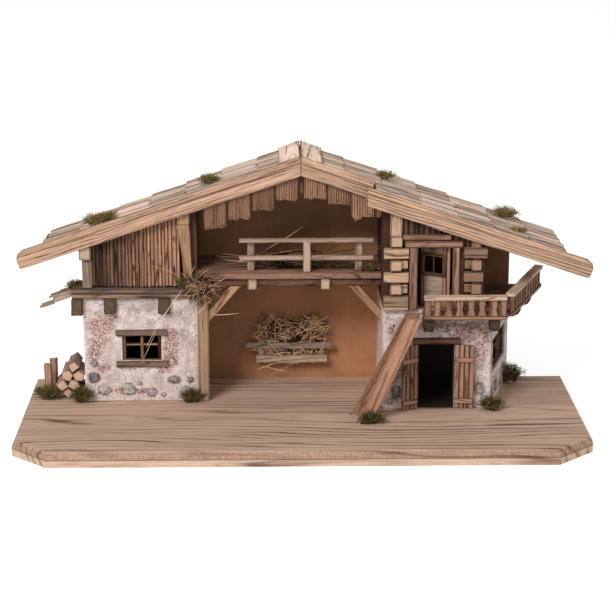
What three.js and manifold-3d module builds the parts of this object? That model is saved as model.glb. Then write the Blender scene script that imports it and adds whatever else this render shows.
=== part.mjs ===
// A nativity stable: an open hall between a stone house and a log house, on one board.
// Millimetres. X runs to the right, Y to the back and Z up, from the middle of the board's underside.
import * as THREE from "three";
import { mergeVertices } from "three/addons/utils/BufferGeometryUtils.js";
import Module from "manifold-3d";

const wasm = await Module();
wasm.setup();

// Clearances
const glueGap = 0.3;
const doorGap = 0.5;
const overlap = 0.5;

// Board and back panel
const baseWidth = 700;
const baseDepth = 300;
const baseThickness = 19;
const baseCorner = 46;
const baseBevelWidth = 3;
const baseBevelHeight = 7;
const panelThickness = 4;
const panelLeft = -275;
const panelRight = 275;

// Roof, with heights above the ground of the board's upper face
const ridgeHeight = 312;
const roofSlope = 0.355;
const roofBoardThickness = 6;
const leftEave = -328.5;
const rightEave = 334.5;
const roofFront = 45;
const roofBack = 155;
const porchFront = 9;
const porchLeft = 92;
const shingleThickness = 2.2;
const shingleLift = 2.2;
const shinglePitch = 46;
const shingleOverlap = 13.4;
const shingleRow = 37;
const ridgeCapWidth = 28;
const ridgeCapThickness = 3;

// Barge boards
const bargeThickness = 5;
const bargeStripDepth = 1.5;
const bargeStripHeight = 9;
const bargeHeight = 25.5;
const bargeSlope = 0.335;
const bargeRise = 5.6;
const bargeTail = 26.3;
const porchDrop = 4;
const porchLap = 11;

// Walls
const wallThickness = 10;
const leftHouseEdge = -275;
const leftHouseFront = 54;
const leftStorey = 135.5;
const hallLeft = -131;
const hallRight = 102;
const rightHouseFront = 17;
const rightHouseCorner = 237;
const rightStorey = 122;
const rightSillHeight = 5.4;

// Windows and the stable door's opening
const frameSide = 4.5;
const frameEdge = 1.5;
const mullionWidth = 4.2;
const transomHeight = 3.5;
const transomShare = 0.62;
const frameDepth = 4;
const lintelDepth = 4;
const leftWindowCentre = -202;
const leftWindowWidth = 50;
const leftWindowBottom = 53;
const leftWindowHeight = 33;
const leftSillHeight = 8;
const leftLintelHeight = 8.5;
const leftLintelWidth = 67;
const sideWindowStart = 18;
const sideWindowWidth = 100;
const sideWindowBottom = 38.5;
const sideWindowHeight = 44;
const stableDoorCentre = 169.3;
const stableDoorWidth = 42.5;
const stableDoorHeight = 84.5;
const stableLintelWidth = 61.5;
const stableLintelHeight = 7.5;
const stableLintelDepth = 8;

// Door leaves
const leafThickness = 5;
const leafPlank = 3.4;
const leafBattenHeight = 7;
const stableLeafWidth = 23.6;
const stableHingeReach = 24;
const stableHingeLap = 1.2;
const stableHingeDepth = 4.5;
const leftLeafOpen = 147;
const rightLeafOpen = 172;
const balconyLeafWidth = 41;
const balconyLeafThickness = 4;
const balconyLeafOpen = 30;
const wallAboveDoor = 26.4;
const balconyPaneStart = 11;
const balconyPaneWidth = 24;
const balconyPaneDrop = 14.8;
const balconyPaneHeight = 20;
const balconyDoorHinge = 185.5;
const balconyJambWidth = 10.5;
const balconyFrameDepth = 5;
const balconyLintelHeight = 8.5;
const balconyLintelLeft = 128;
const balconyTrimWidth = 8.5;
const headerHeight = 8;
const headerDepth = 4;
const headerWidth = 61;
const headerGap = 0.6;

// Left house, upper storey
const floorBoardThickness = 6.4;
const ledgeOverhang = 15;
const ledgeDepth = 6;
const ledgeBoardDepth = 34;
const beamSize = 16;
const joistHeight = 20;
const endJoistHeight = 22;
const joistReach = 8;
const postSize = 14;
const cornerPostSize = 12.5;
const plateJut = 3.1;
const plateWidth = 15;
const plateHeight = 21;
const plankWidth = 7.4;
const plankThickness = 6;
const plankGroove = 1;
const innerPostWidth = 13;
const innerPostLeft = -155;
const bracketHeight = 21;
const postLean = 8;

// Hall
const hallPostReach = 7;
const loftFloorThickness = 9;
const loftHeight = 159.5;
const loftJoistWidth = 12;
const loftJoistHeight = 13;
const loftBeamHeight = 9.5;
const loftBeamDepth = 8;
const loftBeamSetback = 4;
const braceReach = 42;
const braceWidth = 11;
const braceThickness = 8;
const railingWidth = 170;
const railingSetback = 10;
const railingHeight = 43;
const railHeight = 5.5;
const railDepth = 8;
const lowerRailHeight = 7;
const railThickness = 4;
const railingPostWidth = 9.5;
const railingLowerRail = 14;
const ridgeBeamWidth = 8;
const ridgeBeamHeight = 38;
const hangingThickness = 4;
const hangingWidth = 29.7;
const hangingGap = 5.4;
const lastHangingWidth = 9.5;
const leftHangingDrops = [38, 38, 38, 35];
const rightHangingDrops = [44.5, 41, 47.5, 35.5];

// Log house, upper storey
const logSize = 13.2;
const logGap = 2;
const logReach = 7;
const logSetback = 4;
const logWidth = 31;
const crossLogWidth = 14.5;
const rightCornerLeft = 200.5;
const rightCornerLong = 30;
const rightCrossStart = 10;
const rightCrossWidth = 13;
const rightCornerSill = 5.8;
const leftCornerCap = 28;
const rightCornerCap = 14;
const upperWallThickness = 6;

// Balcony
const balconyLeft = 150.5;
const balconyReach = 29;
const balconyFrontRight = 253;
const balconyBackRight = 313.5;
const balconyFloorThickness = 6;
const handrailDepth = 12;
const handrailHeight = 5.5;
const railingRise = 25.3;
const balusterWidth = 10.4;
const balusterWaist = 8.4;
const balusterThickness = 3.5;
const balusterPitch = 14.6;
const balconyEndPanel = 9.5;
const balconyJoistInset = 19;
const skirtHeight = 5.2;
const balconyJoistWidth = 13;
const balconyJoistHeight = 18.5;

// Ladder
const ladderTop = 149;
const ladderRun = 0.45;
const ladderSplay = 8;
const ladderFootLeft = 69.8;
const ladderBoardRun = 18.5;
const ladderFront = -39;
const ladderWidth = 33;
const ladderBoardThickness = 5;
const treadThickness = 4;
const treadSpacing = 27;
const treadCount = 5;

// Hay rack, hay, wood stack and lean-to roof
const rackLeft = -72;
const rackWidth = 116;
const rackStandOff = 14;
const rackBoardThickness = 4;
const rackUpperBottom = 43;
const rackUpperHeight = 9.5;
const rackLowerHeight = 10.5;
const rackLowerBottom = 24.5;
const rackLowerWidth = 95;
const rackPostWidth = 7;
const hayHeight = 34;
const hayOverhang = 8;
const loftHayStart = 66;
const loftHayWidth = 128;
const loftHayDepth = 36;
const loftHayRise = 20;
const tuftWidth = 30;
const tuftThickness = 9;
const stackDepth = 46;
const logRadius = 7.8;
const logBulge = 0.06;
const stakeHeight = 46;
const stakeSize = 10;
const frontStakeOut = 4.5;
const shedReach = 40;
const shedThickness = 4;
const shedDrop = 2.5;
const shedDepth = 60;
const shedSlope = 0.32;

// Levels and faces that follow from the sizes above
const ground = baseThickness;
const back = baseDepth / 2;
const roofBoardRise = roofBoardThickness * Math.hypot(1, roofSlope);
const leftFloorUnder = ground + leftStorey;
const leftFloorTop = leftFloorUnder + floorBoardThickness;
const leftLedgeTop = leftFloorTop + floorBoardThickness;
const loftUnder = ground + loftHeight;
const loftTop = loftUnder + loftFloorThickness;
const rightFloorUnder = ground + rightStorey;
const rightFloorTop = rightFloorUnder + balconyFloorThickness;
const bargeFront = roofFront - bargeThickness;
const porchBargeFront = porchFront - bargeThickness;
const hallPostFront = leftHouseFront - hallPostReach;
const hingeY = rightHouseFront - stableHingeDepth;
const balconyFront = rightHouseFront - balconyReach;
const balconyJamb = balconyDoorHinge + balconyLeafThickness / 2 + doorGap;
const balconyDoorLeft = balconyDoorHinge - balconyLeafWidth - doorGap;
const logFront = rightHouseFront - logReach;
const splayRun = (panelRight - rightHouseCorner) / (back - rightHouseFront);

const roofTop = (x) => ground + ridgeHeight - roofSlope * Math.abs(x);
const roofUnder = (x) => roofTop(x) - roofBoardRise - glueGap;
const splayX = (y) => rightHouseCorner + (y - rightHouseFront) * splayRun;
const plateLeft = leftHouseEdge - plateJut;
const plateFoot = roofUnder(plateLeft) - plateHeight;
const crossLogLeft = hallRight + (logWidth - crossLogWidth) / 2;
const crossLogRight = crossLogLeft + crossLogWidth;
const balconyDoorTop = roofUnder(rightCornerLeft) - wallAboveDoor;
const railingLeft = hallRight - railingSetback - railingWidth;

const woods = {
  base: ["#c3a180", 0.7],
  panel: ["#a0673c", 0.8],
  beam: ["#a98a63", 0.8],
  dark: ["#6d5440", 0.85],
  siding: ["#7f6248", 0.85],
  barge: ["#c08f62", 0.75],
  roof: ["#8d7a62", 0.85],
  shingle: ["#b5a284", 0.85],
  log: ["#b39468", 0.8],
  ladder: ["#c98f5a", 0.75],
  plaster: ["#d9cbc6", 0.95],
  hay: ["#b59a55", 0.95],
};

const axisX = new THREE.Vector3(1, 0, 0);
const axisY = new THREE.Vector3(0, 1, 0);
const axisZ = new THREE.Vector3(0, 0, 1);

// A solid made by pushing a flat outline along one axis, from one place to another.
// The outline is in X and Y along z, in X and Z along y, and in Y and Z along x.
function prism(axis, outline, from, to, holes = []) {
  const shape = new THREE.Shape(outline.map(([u, v]) => new THREE.Vector2(u, v)));
  shape.holes = holes.map((hole) => new THREE.Path(hole.map(([u, v]) => new THREE.Vector2(u, v))));
  return prismOfShape(axis, shape, from, to);
}

function prismOfShape(axis, shape, from, to) {
  const geometry = new THREE.ExtrudeGeometry(shape, {
    depth: to - from,
    bevelEnabled: false,
    steps: 1,
    curveSegments: 6,
  });
  const turn = new THREE.Matrix4();
  if (axis === "y") {
    turn.makeBasis(axisX, axisZ, axisY.clone().negate());
    turn.setPosition(0, to, 0);
  } else if (axis === "x") {
    turn.makeBasis(axisY, axisZ, axisX);
    turn.setPosition(from, 0, 0);
  } else {
    turn.setPosition(0, 0, from);
  }
  return tidy(geometry.applyMatrix4(turn));
}

// Positions only, on a fine grid, so that faces meant to meet hold the same numbers.
function tidy(geometry) {
  geometry.deleteAttribute("normal");
  geometry.deleteAttribute("uv");
  const position = geometry.getAttribute("position");
  for (let i = 0; i < position.array.length; i += 1) {
    position.array[i] = Math.round(position.array[i] * 1000) / 1000;
  }
  return mergeVertices(geometry, 1e-3);
}

function block(x0, x1, y0, y1, z0, z1) {
  return prism("z", rectangle(x0, x1, y0, y1), z0, z1);
}

function rectangle(u0, u1, v0, v1) {
  return [[u0, v0], [u1, v0], [u1, v1], [u0, v1]];
}

function solidOf(geometry) {
  const mesh = new wasm.Mesh({
    numProp: 3,
    vertProperties: new Float32Array(geometry.getAttribute("position").array),
    triVerts: new Uint32Array(geometry.index.array),
  });
  return new wasm.Manifold(mesh);
}

function geometryOf(solid) {
  const mesh = solid.getMesh();
  const geometry = new THREE.BufferGeometry();
  geometry.setAttribute("position", new THREE.BufferAttribute(new Float32Array(mesh.vertProperties), 3));
  geometry.setIndex(new THREE.BufferAttribute(new Uint32Array(mesh.triVerts), 1));
  return geometry;
}

function join(...geometries) {
  const [first, ...others] = geometries.map(solidOf);
  return geometryOf(others.reduce((sum, solid) => sum.add(solid), first));
}

function cut(geometry, ...cutters) {
  return geometryOf(cutters.map(solidOf).reduce((rest, solid) => rest.subtract(solid), solidOf(geometry)));
}

// The outline of a board between two slopes, from x0 to x1.
function slopeBand(x0, x1, lower, upper) {
  return [[x0, lower(x0)], [x1, lower(x1)], [x1, upper(x1)], [x0, upper(x0)]];
}

// The outline of a wall from its foot to the roof's underside.
function gableWall(x0, x1, foot) {
  const top = x0 < 0 && x1 > 0 ? [[x1, roofUnder(x1)], [0, roofUnder(0)], [x0, roofUnder(x0)]]
    : [[x1, roofUnder(x1)], [x0, roofUnder(x0)]];
  return [[x0, foot], [x1, foot], ...top];
}

// The board: square at the back, its front corners cut off, its upper edge bevelled.
function baseBoard() {
  const outline = (inset) => {
    const x = baseWidth / 2 - inset;
    const y = baseDepth / 2 - inset;
    const corner = baseCorner - inset * (2 - Math.SQRT2);
    return [[-x, back], [-x, -y + corner], [-x + corner, -y], [x - corner, -y], [x, -y + corner], [x, back]];
  };
  return lofted(outline(0), outline(baseBevelWidth), [0, ground - baseBevelHeight, ground]);
}

// A prism of one outline up to the middle level, drawn in to the other outline at the upper level.
function lofted(lower, upper, levels) {
  const rings = [lower, lower, upper];
  const count = lower.length;
  const vertices = rings.flatMap((ring, i) => ring.flatMap(([x, y]) => [x, y, levels[i]]));
  const cap = THREE.ShapeUtils.triangulateShape(lower.map(([x, y]) => new THREE.Vector2(x, y)), []);
  const faces = [];
  for (const [a, b, c] of cap) {
    faces.push(c, b, a);
    faces.push(a + 2 * count, b + 2 * count, c + 2 * count);
  }
  for (let ring = 0; ring < 2; ring += 1) {
    for (let i = 0; i < count; i += 1) {
      const a = ring * count + i;
      const b = ring * count + ((i + 1) % count);
      faces.push(a, b, b + count);
      faces.push(a, b + count, a + count);
    }
  }
  const geometry = new THREE.BufferGeometry();
  geometry.setAttribute("position", new THREE.BufferAttribute(new Float32Array(vertices), 3));
  geometry.setIndex(faces);
  return geometry;
}

// A frame round an opening, with one upright bar in the middle and one level bar above it.
function windowFrame(x0, x1, z0, z1, y0) {
  const middle = (x0 + x1) / 2;
  const level = z0 + transomShare * (z1 - z0);
  const columns = [[x0 + frameSide, middle - mullionWidth / 2], [middle + mullionWidth / 2, x1 - frameSide]];
  const rows = [[z0 + frameEdge, level - transomHeight / 2], [level + transomHeight / 2, z1 - frameEdge]];
  const panes = columns.flatMap(([left, right]) => rows.map(([low, high]) => (
    block(left, right, y0 - 1, y0 + frameDepth + 1, low, high)
  )));
  return cut(block(x0, x1, y0, y0 + frameDepth, z0, z1), ...panes);
}

// Vertical planks side by side, parted by grooves in the front face.
function plankPanel(outline, x0, x1, y0, thickness) {
  const panel = prism("y", outline, y0, y0 + thickness);
  const count = Math.max(2, Math.round((x1 - x0) / plankWidth));
  const pitch = (x1 - x0) / count;
  const low = Math.min(...outline.map(([, z]) => z)) - 1;
  const high = Math.max(...outline.map(([, z]) => z)) + 1;
  const grooves = [];
  for (let i = 1; i < count; i += 1) {
    const x = x0 + i * pitch;
    const groove = [[x - plankGroove, y0 - overlap], [x + plankGroove, y0 - overlap], [x, y0 + plankGroove]];
    grooves.push(prism("z", groove, low, high));
  }
  return cut(panel, ...grooves);
}

// Left house

function leftFrontWall() {
  const half = leftWindowWidth / 2;
  const low = ground + leftWindowBottom;
  const outline = rectangle(leftHouseEdge, hallLeft, ground, leftFloorUnder);
  const opening = rectangle(leftWindowCentre - half, leftWindowCentre + half, low, low + leftWindowHeight);
  return prism("y", outline, leftHouseFront, leftHouseFront + wallThickness, [opening.reverse()]);
}

function leftSideWall() {
  const front = leftHouseFront + wallThickness;
  return block(leftHouseEdge, leftHouseEdge + wallThickness, front, back, ground, leftFloorUnder);
}

// The partition carries the roof, and stands behind the front wall, between the left house and the hall.
function partition() {
  const left = hallLeft - wallThickness;
  const wall = prism("y", gableWall(left, hallLeft, ground), leftHouseFront + plankThickness, back);
  const far = leftHouseFront + wallThickness;
  return cut(wall, block(left - 1, hallLeft + 1, leftHouseFront, far, ground - 1, leftFloorUnder));
}

function leftWindowFrame() {
  const half = leftWindowWidth / 2 - glueGap;
  const low = ground + leftWindowBottom + glueGap;
  const high = ground + leftWindowBottom + leftWindowHeight - glueGap;
  const y = leftHouseFront + frameDepth / 2;
  return windowFrame(leftWindowCentre - half, leftWindowCentre + half, low, high, y);
}

function windowBeam(low, height) {
  const half = leftLintelWidth / 2;
  const y = leftHouseFront - lintelDepth;
  return block(leftWindowCentre - half, leftWindowCentre + half, y, leftHouseFront, low, low + height);
}

// A floor board of the left house, with a narrow strip in front of the partition.
function leftBoard(depth, low) {
  const left = leftHouseEdge - ledgeOverhang;
  const front = leftHouseFront - ledgeDepth;
  const notchX = hallLeft - wallThickness;
  const notchY = leftHouseFront + plankThickness - glueGap;
  const right = hallLeft - glueGap;
  const plan = [[left, front], [right, front], [right, notchY], [notchX, notchY], [notchX, front + depth],
    [left, front + depth]];
  return prism("z", plan, low, low + floorBoardThickness);
}

// The upper floor of the left house, on the beam and the joist ends that show below it.
function leftFloor() {
  const front = leftHouseFront - ledgeDepth;
  const left = leftHouseEdge - ledgeOverhang;
  const high = leftFloorUnder + overlap;
  const jut = leftHouseFront - joistReach;
  const beam = block(left, leftHouseEdge, jut, back, leftFloorUnder - endJoistHeight, high);
  const stubs = [0.257, 0.764].map((share) => {
    const x = leftHouseEdge + share * (hallLeft - wallThickness - leftHouseEdge) - beamSize / 2;
    return block(x, x + beamSize, jut, leftHouseFront, leftFloorUnder - joistHeight, high);
  });
  return join(leftBoard(back - front, leftFloorUnder), beam, ...stubs);
}

function leftLedge() {
  return leftBoard(ledgeBoardDepth, leftFloorTop);
}

function leftSiding() {
  const left = leftHouseEdge + cornerPostSize;
  const right = innerPostLeft + innerPostWidth / 4;
  return plankPanel(gableWall(left, right, leftLedgeTop), left, right, leftHouseFront, plankThickness);
}

function cornerPost() {
  const y = leftHouseFront - ledgeDepth / 2;
  return block(leftHouseEdge, leftHouseEdge + cornerPostSize, y, y + cornerPostSize, leftLedgeTop, plateFoot);
}

// The beam under the left slope of the roof, from the corner post to the back.
function wallPlate() {
  const outline = gableWall(plateLeft, plateLeft + plateWidth, plateFoot);
  return prism("y", outline, leftHouseFront - joistReach, back);
}

function leftSideSiding() {
  const front = leftHouseFront - ledgeDepth / 2 + cornerPostSize;
  const behindLedge = leftHouseFront - ledgeDepth + ledgeBoardDepth;
  const x1 = leftHouseEdge + plankThickness;
  const upper = block(leftHouseEdge, x1, front, back, leftLedgeTop, plateFoot);
  return join(upper, block(leftHouseEdge, x1, behindLedge, back, leftFloorTop, leftLedgeTop + overlap));
}

// The post beside the hall: a bracket under the roof, and a shaft that leans to the hall at its foot.
function innerPost() {
  const left = innerPostLeft;
  const right = left + innerPostWidth + 3;
  const lean = postLean;
  const shoulder = roofUnder(left) - bracketHeight;
  const knee = shoulder - bracketHeight;
  const outline = [
    [left + lean, leftLedgeTop], [left + lean + innerPostWidth, leftLedgeTop],
    [right + lean / 2, knee], [right, shoulder], [right, roofUnder(right)], [left, roofUnder(left)],
    [left, shoulder], [left + lean / 2, shoulder - 1], [left + lean / 4, knee],
  ];
  const y = leftHouseFront - ledgeDepth / 2;
  return prism("y", outline, y - 1, leftHouseFront - glueGap);
}

// The broken boards of the little lean-to roof over the wood stack.
function shedRoof() {
  const right = leftHouseEdge - ledgeOverhang;
  const y0 = leftHouseFront - ledgeDepth;
  const top = leftFloorTop - shedDrop;
  const boards = [];
  const count = 3;
  const pitch = shedDepth / count;
  for (let i = 0; i < count; i += 1) {
    const reach = shedReach - 7 * ((i * 2) % 3);
    const lift = 0.8 * (i % 2);
    const outline = slopeBand(right - reach, right,
      (x) => top - shedThickness + lift - (right - x) * shedSlope,
      (x) => top + lift - (right - x) * shedSlope);
    boards.push(prism("y", outline, y0 + i * pitch, y0 + (i + 1) * pitch + overlap));
  }
  return join(...boards);
}

// Hall

function hallPost() {
  const y = hallPostFront;
  return block(hallLeft, hallLeft + postSize, y, y + postSize, ground, loftUnder - loftBeamHeight);
}

function loftFloor() {
  const front = leftHouseFront - ledgeDepth;
  const board = block(hallLeft, hallRight, front, back, loftUnder, loftTop);
  const stubs = [0.3, 0.695].map((share) => {
    const x = hallLeft + share * (hallRight - hallLeft) - loftJoistWidth / 2;
    const low = loftUnder - loftJoistHeight;
    return block(x, x + loftJoistWidth, front - 2, front + loftBeamSetback, low, loftUnder + overlap);
  });
  return join(board, ...stubs);
}

function loftBeam() {
  const y = leftHouseFront - ledgeDepth + loftBeamSetback;
  return block(hallLeft, hallRight, y, y + loftBeamDepth, loftUnder - loftBeamHeight, loftUnder);
}

// A brace between an upright face and the beam above it; side is 1 to lean right and -1 to lean left.
function brace(face, side) {
  const top = loftUnder - loftBeamHeight;
  const rise = braceReach * 0.95;
  const width = braceWidth * 1.4;
  const outline = [
    [face, top - rise - width / 2], [face + side * braceReach, top],
    [face + side * (braceReach - width), top], [face, top - rise + width / 2],
  ];
  if (side < 0) outline.reverse();
  const y = leftHouseFront - ledgeDepth + loftBeamSetback;
  return prism("y", outline, y, y + braceThickness);
}

// A flat handrail on three posts, with a lower rail let in between them.
function loftRailing() {
  const y = leftHouseFront;
  const right = railingLeft + railingWidth;
  const top = loftTop + railingHeight;
  const lower = loftTop + railingLowerRail;
  const handrail = block(railingLeft, right, y - railDepth / 4, y + railDepth * 0.75, top - railHeight, top);
  const lowerRail = block(railingLeft, right, y, y + railThickness, lower, lower + lowerRailHeight);
  const posts = [0.06, 0.475, 0.86].map((share, i) => {
    const x = railingLeft + share * railingWidth;
    const front = i === 1 ? y - railThickness + overlap : y + railThickness - overlap;
    return block(x, x + railingPostWidth, front, front + railThickness, loftTop, top - (i === 1 ? 0.5 : 1));
  });
  return join(handrail, lowerRail, ...posts);
}

function ridgeBeam() {
  const half = ridgeBeamWidth / 2;
  const outline = gableWall(-half, half, roofUnder(0) - ridgeBeamHeight);
  return prism("y", outline, roofFront + 2 * hangingThickness, back);
}

// The short boards that hang in the gable, each ending at its own height in a broken edge.
function hangingBoards(left, widths, drops) {
  let x0 = left;
  const boards = drops.map((drop, i) => {
    const width = widths[i];
    const x1 = x0 + width + (i < drops.length - 1 ? overlap : 0);
    const low = roofUnder(x0) - drop;
    const outline = gableWall(x0, x1, low);
    const broken = [[x0 + width * 0.3, low - 2], [x0 + width * 0.45, low + 2], [x0 + width * 0.7, low - 1.5]];
    outline.splice(1, 0, ...broken);
    const y = roofFront + 1 + (i % 2);
    x0 += width;
    return prism("y", outline, y, y + hangingThickness);
  });
  return join(...boards);
}

// Roof

function roofBoard(x0, x1, y0) {
  const outline = slopeBand(x0, x1, (x) => roofTop(x) - roofBoardRise, roofTop);
  return prism("y", outline, y0, roofBack);
}

function rightRoofBoard() {
  return join(roofBoard(0, rightEave, roofFront), roofBoard(porchLeft, rightEave, porchFront));
}

// One slope of shingles, in courses that lap down the roof and boards that lie side by side.
function shingles(side, eave, frontAt) {
  const length = Math.abs(eave);
  const courses = Math.round((length - shingleOverlap) / shinglePitch);
  const pitch = (length - shingleOverlap) / courses;
  const surface = (x) => roofTop(x) + glueGap;
  const boards = [];
  for (let i = 0; i < courses; i += 1) {
    const high = i * pitch + (i === 0 ? glueGap : 0);
    const low = (i + 1) * pitch + shingleOverlap;
    const lift = (x) => shingleLift * (Math.abs(x) - high) / (low - high);
    const y0 = frontAt(high + pitch / 2);
    const rows = Math.round((roofBack - y0) / shingleRow);
    const row = (roofBack - y0) / rows;
    const shift = i % 2 ? 0.5 : 0.28;
    const edges = [y0, ...Array.from({ length: rows }, (_, j) => y0 + (j + shift) * row), roofBack];
    for (let j = 0; j + 1 < edges.length; j += 1) {
      const short = 3.5 * ((i * 2 + j * 3) % 4) / 3;
      const outline = slopeBand(side * high, side * (low - short),
        (x) => surface(x) + lift(x), (x) => surface(x) + lift(x) + shingleThickness);
      if (side < 0) outline.reverse();
      boards.push(prism("y", outline, edges[j] + (j ? 0.4 : 0), edges[j + 1] - 0.4));
    }
  }
  return join(...boards);
}

function ridgeCap(side) {
  const base = (x) => roofTop(x) + glueGap * 2 + shingleThickness
    + shingleLift * ridgeCapWidth / (shinglePitch + shingleOverlap);
  const upper = (x) => base(x) + ridgeCapThickness;
  const outline = slopeBand(side * glueGap / 2, side * ridgeCapWidth, base, upper);
  if (side < 0) outline.reverse();
  return prism("y", outline, roofFront, roofBack);
}

const bargeTop = (x) => ground + ridgeHeight + bargeRise - bargeSlope * Math.abs(x);

// The rounded tail of a barge board, past the eave, drawn from its upper edge to its lower edge.
function bargeOutline(side, start, eave, drop, height) {
  const top = (x) => bargeTop(x) - drop;
  const tip = eave + side * bargeTail;
  const shape = new THREE.Shape();
  shape.moveTo(start, top(start) - height);
  shape.lineTo(start, top(start));
  const bend = eave + side * 8;
  shape.lineTo(bend, top(bend));
  shape.quadraticCurveTo(tip - side * 4, top(tip) + 2, tip, top(tip) - bargeHeight * 0.45);
  if (height > bargeStripHeight) shape.lineTo(tip - side * 3, top(tip - side * 3) - height);
  else shape.lineTo(tip - side * 12, top(tip - side * 12) - height);
  return shape;
}

function bargeBoard(side, start, eave, front, drop) {
  const board = prismOfShape("y", bargeOutline(side, start, eave, drop, bargeHeight),
    front + bargeStripDepth, front + bargeThickness);
  const strip = prismOfShape("y", bargeOutline(side, start, eave, drop, bargeStripHeight),
    front, front + bargeThickness - overlap);
  return join(board, strip);
}

// The short barge board of the hall, between the ridge and the porch.
function innerBarge() {
  const cutBack = bargeHeight * 0.42;
  const outline = (height, top) => [
    [glueGap, bargeTop(0) - height],
    [porchLeft - cutBack * height / bargeHeight, bargeTop(porchLeft) - height],
    [porchLeft, top(porchLeft)], [glueGap, top(0)],
  ];
  const board = prism("y", outline(bargeHeight, bargeTop), bargeFront + bargeStripDepth, roofFront);
  const strip = prism("y", outline(bargeStripHeight, bargeTop), bargeFront, roofFront - overlap);
  return join(board, strip);
}

// Right house, lower storey

function rightFrontWall() {
  const half = stableDoorWidth / 2;
  const step = balconyLeft;
  const doorTop = ground + stableDoorHeight;
  const outline = [
    [hallRight, ground], [stableDoorCentre - half, ground], [stableDoorCentre - half, doorTop],
    [stableDoorCentre + half, doorTop], [stableDoorCentre + half, ground],
    [rightHouseCorner + wallThickness, ground], [rightHouseCorner + wallThickness, rightFloorUnder],
    [step, rightFloorUnder], [step, rightFloorUnder + rightSillHeight],
    [hallRight, rightFloorUnder + rightSillHeight],
  ];
  const far = rightHouseFront + wallThickness;
  const wall = prism("y", outline, rightHouseFront, far);
  const outside = [
    [splayX(rightHouseFront - 1), rightHouseFront - 1],
    [rightHouseCorner + 3 * wallThickness, rightHouseFront - 1],
    [rightHouseCorner + 3 * wallThickness, far + 1], [splayX(far + 1), far + 1],
  ];
  return cut(wall, prism("z", outside, ground - 1, rightFloorUnder + 1));
}

// The outer side wall stands at a slant, so the house is wider at the back.
function rightSideWall() {
  const y0 = rightHouseFront + wallThickness;
  const across = wallThickness * Math.hypot(1, splayRun);
  const near = splayX(y0);
  const far = splayX(back);
  const plan = [[near - across, y0], [near, y0], [far, back], [far - across, back]];
  const opening = block(sideWindowStart, sideWindowStart + sideWindowWidth, -5, wallThickness + 5,
    ground + sideWindowBottom, ground + sideWindowBottom + sideWindowHeight);
  return cut(prism("z", plan, ground, rightFloorUnder), alongSplay(opening));
}

// Moves a piece drawn along X onto the slanted wall, with its outer face at Y 0.
function alongSplay(geometry) {
  const turn = new THREE.Matrix4().makeRotationZ(Math.atan2(1, splayRun));
  turn.setPosition(rightHouseCorner, rightHouseFront, 0);
  return geometry.applyMatrix4(turn);
}

function rightPartition() {
  const y0 = rightHouseFront + wallThickness;
  const x1 = hallRight + wallThickness;
  return prism("y", gableWall(hallRight, x1, ground), y0, back);
}

function sideWindowFrame() {
  const low = ground + sideWindowBottom + glueGap;
  const high = ground + sideWindowBottom + sideWindowHeight - glueGap;
  const right = sideWindowStart + sideWindowWidth - glueGap;
  return alongSplay(windowFrame(sideWindowStart + glueGap, right, low, high, frameDepth / 2));
}

function stableLintel() {
  const half = stableLintelWidth / 2;
  const low = ground + stableDoorHeight;
  return block(stableDoorCentre - half, stableDoorCentre + half, rightHouseFront - stableLintelDepth,
    rightHouseFront, low, low + stableLintelHeight);
}

// A leaf of the stable door, drawn shut along X from its hinge line, with two battens inside.
function stableLeaf(side) {
  const low = ground + doorGap;
  const high = ground + stableDoorHeight - doorGap;
  const y0 = -leafThickness / 2;
  const lap = -side * stableHingeLap;
  const tip = side * stableLeafWidth;
  const x0 = Math.min(lap, tip);
  const x1 = Math.max(lap, tip);
  const planks = plankPanel(rectangle(x0, x1, low, high), x0, x1, y0, leafPlank);
  const battens = [0.08, 0.72].map((share) => {
    const z = low + share * (high - low);
    return block(x0 + 1, x1 - 1, y0 + leafPlank - overlap, leafThickness / 2, z, z + leafBattenHeight);
  });
  return join(planks, ...battens);
}

// Log house, upper storey

const logRise = logSize + logGap;

// One course of the corner: a log along the wall, or the end of a log that crosses it.
// A crossing log stands proud, and the wall's own log behind it is set back.
function logCourse(i, z, left, right, crossLeft, crossRight) {
  const far = rightHouseFront + wallThickness;
  const near = rightHouseFront - glueGap;
  const top = z + logSize;
  const core = block(crossLeft + 1, crossRight - 1, logFront + 2, far, z - logGap - overlap, top);
  if (i % 2 === 0) {
    const log = block(left, right, logFront, near, z, top);
    return [core, log, block(crossLeft, crossRight, logFront, far, z, top)];
  }
  const x0 = Math.min(left + 1, crossLeft);
  const x1 = Math.max(right - 1, crossRight);
  const end = block(crossLeft, crossRight, logFront - 1, far, z, top);
  return [core, end, block(x0, x1, logFront + logSetback, near, z + 1, top)];
}

// The logs that fit between a foot and a roof, below a plain cap of at least the given height.
function logCount(foot, right, cap) {
  return Math.floor((roofUnder(right) - cap - foot) / logRise);
}

function leftLogCorner() {
  const far = rightHouseFront + wallThickness;
  const right = hallRight + logWidth;
  const sillTop = rightFloorTop + rightSillHeight;
  const sill = block(hallRight, right, logFront, rightHouseFront - glueGap, rightFloorTop, sillTop);
  const count = logCount(sillTop, right, leftCornerCap);
  const logs = Array.from({ length: count }, (_, i) => {
    const z = sillTop + i * logRise;
    const reach = z + logSize + glueGap < balconyDoorTop ? right : crossLogRight;
    return logCourse(i, z, i % 2 ? crossLogLeft : hallRight, reach, crossLogLeft, crossLogRight);
  });
  const top = sillTop + count * logRise - logGap - overlap;
  const cap = prism("y", gableWall(crossLogLeft, crossLogRight, top), logFront + 2, far);
  return join(sill, ...logs.flat(), cap);
}

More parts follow.
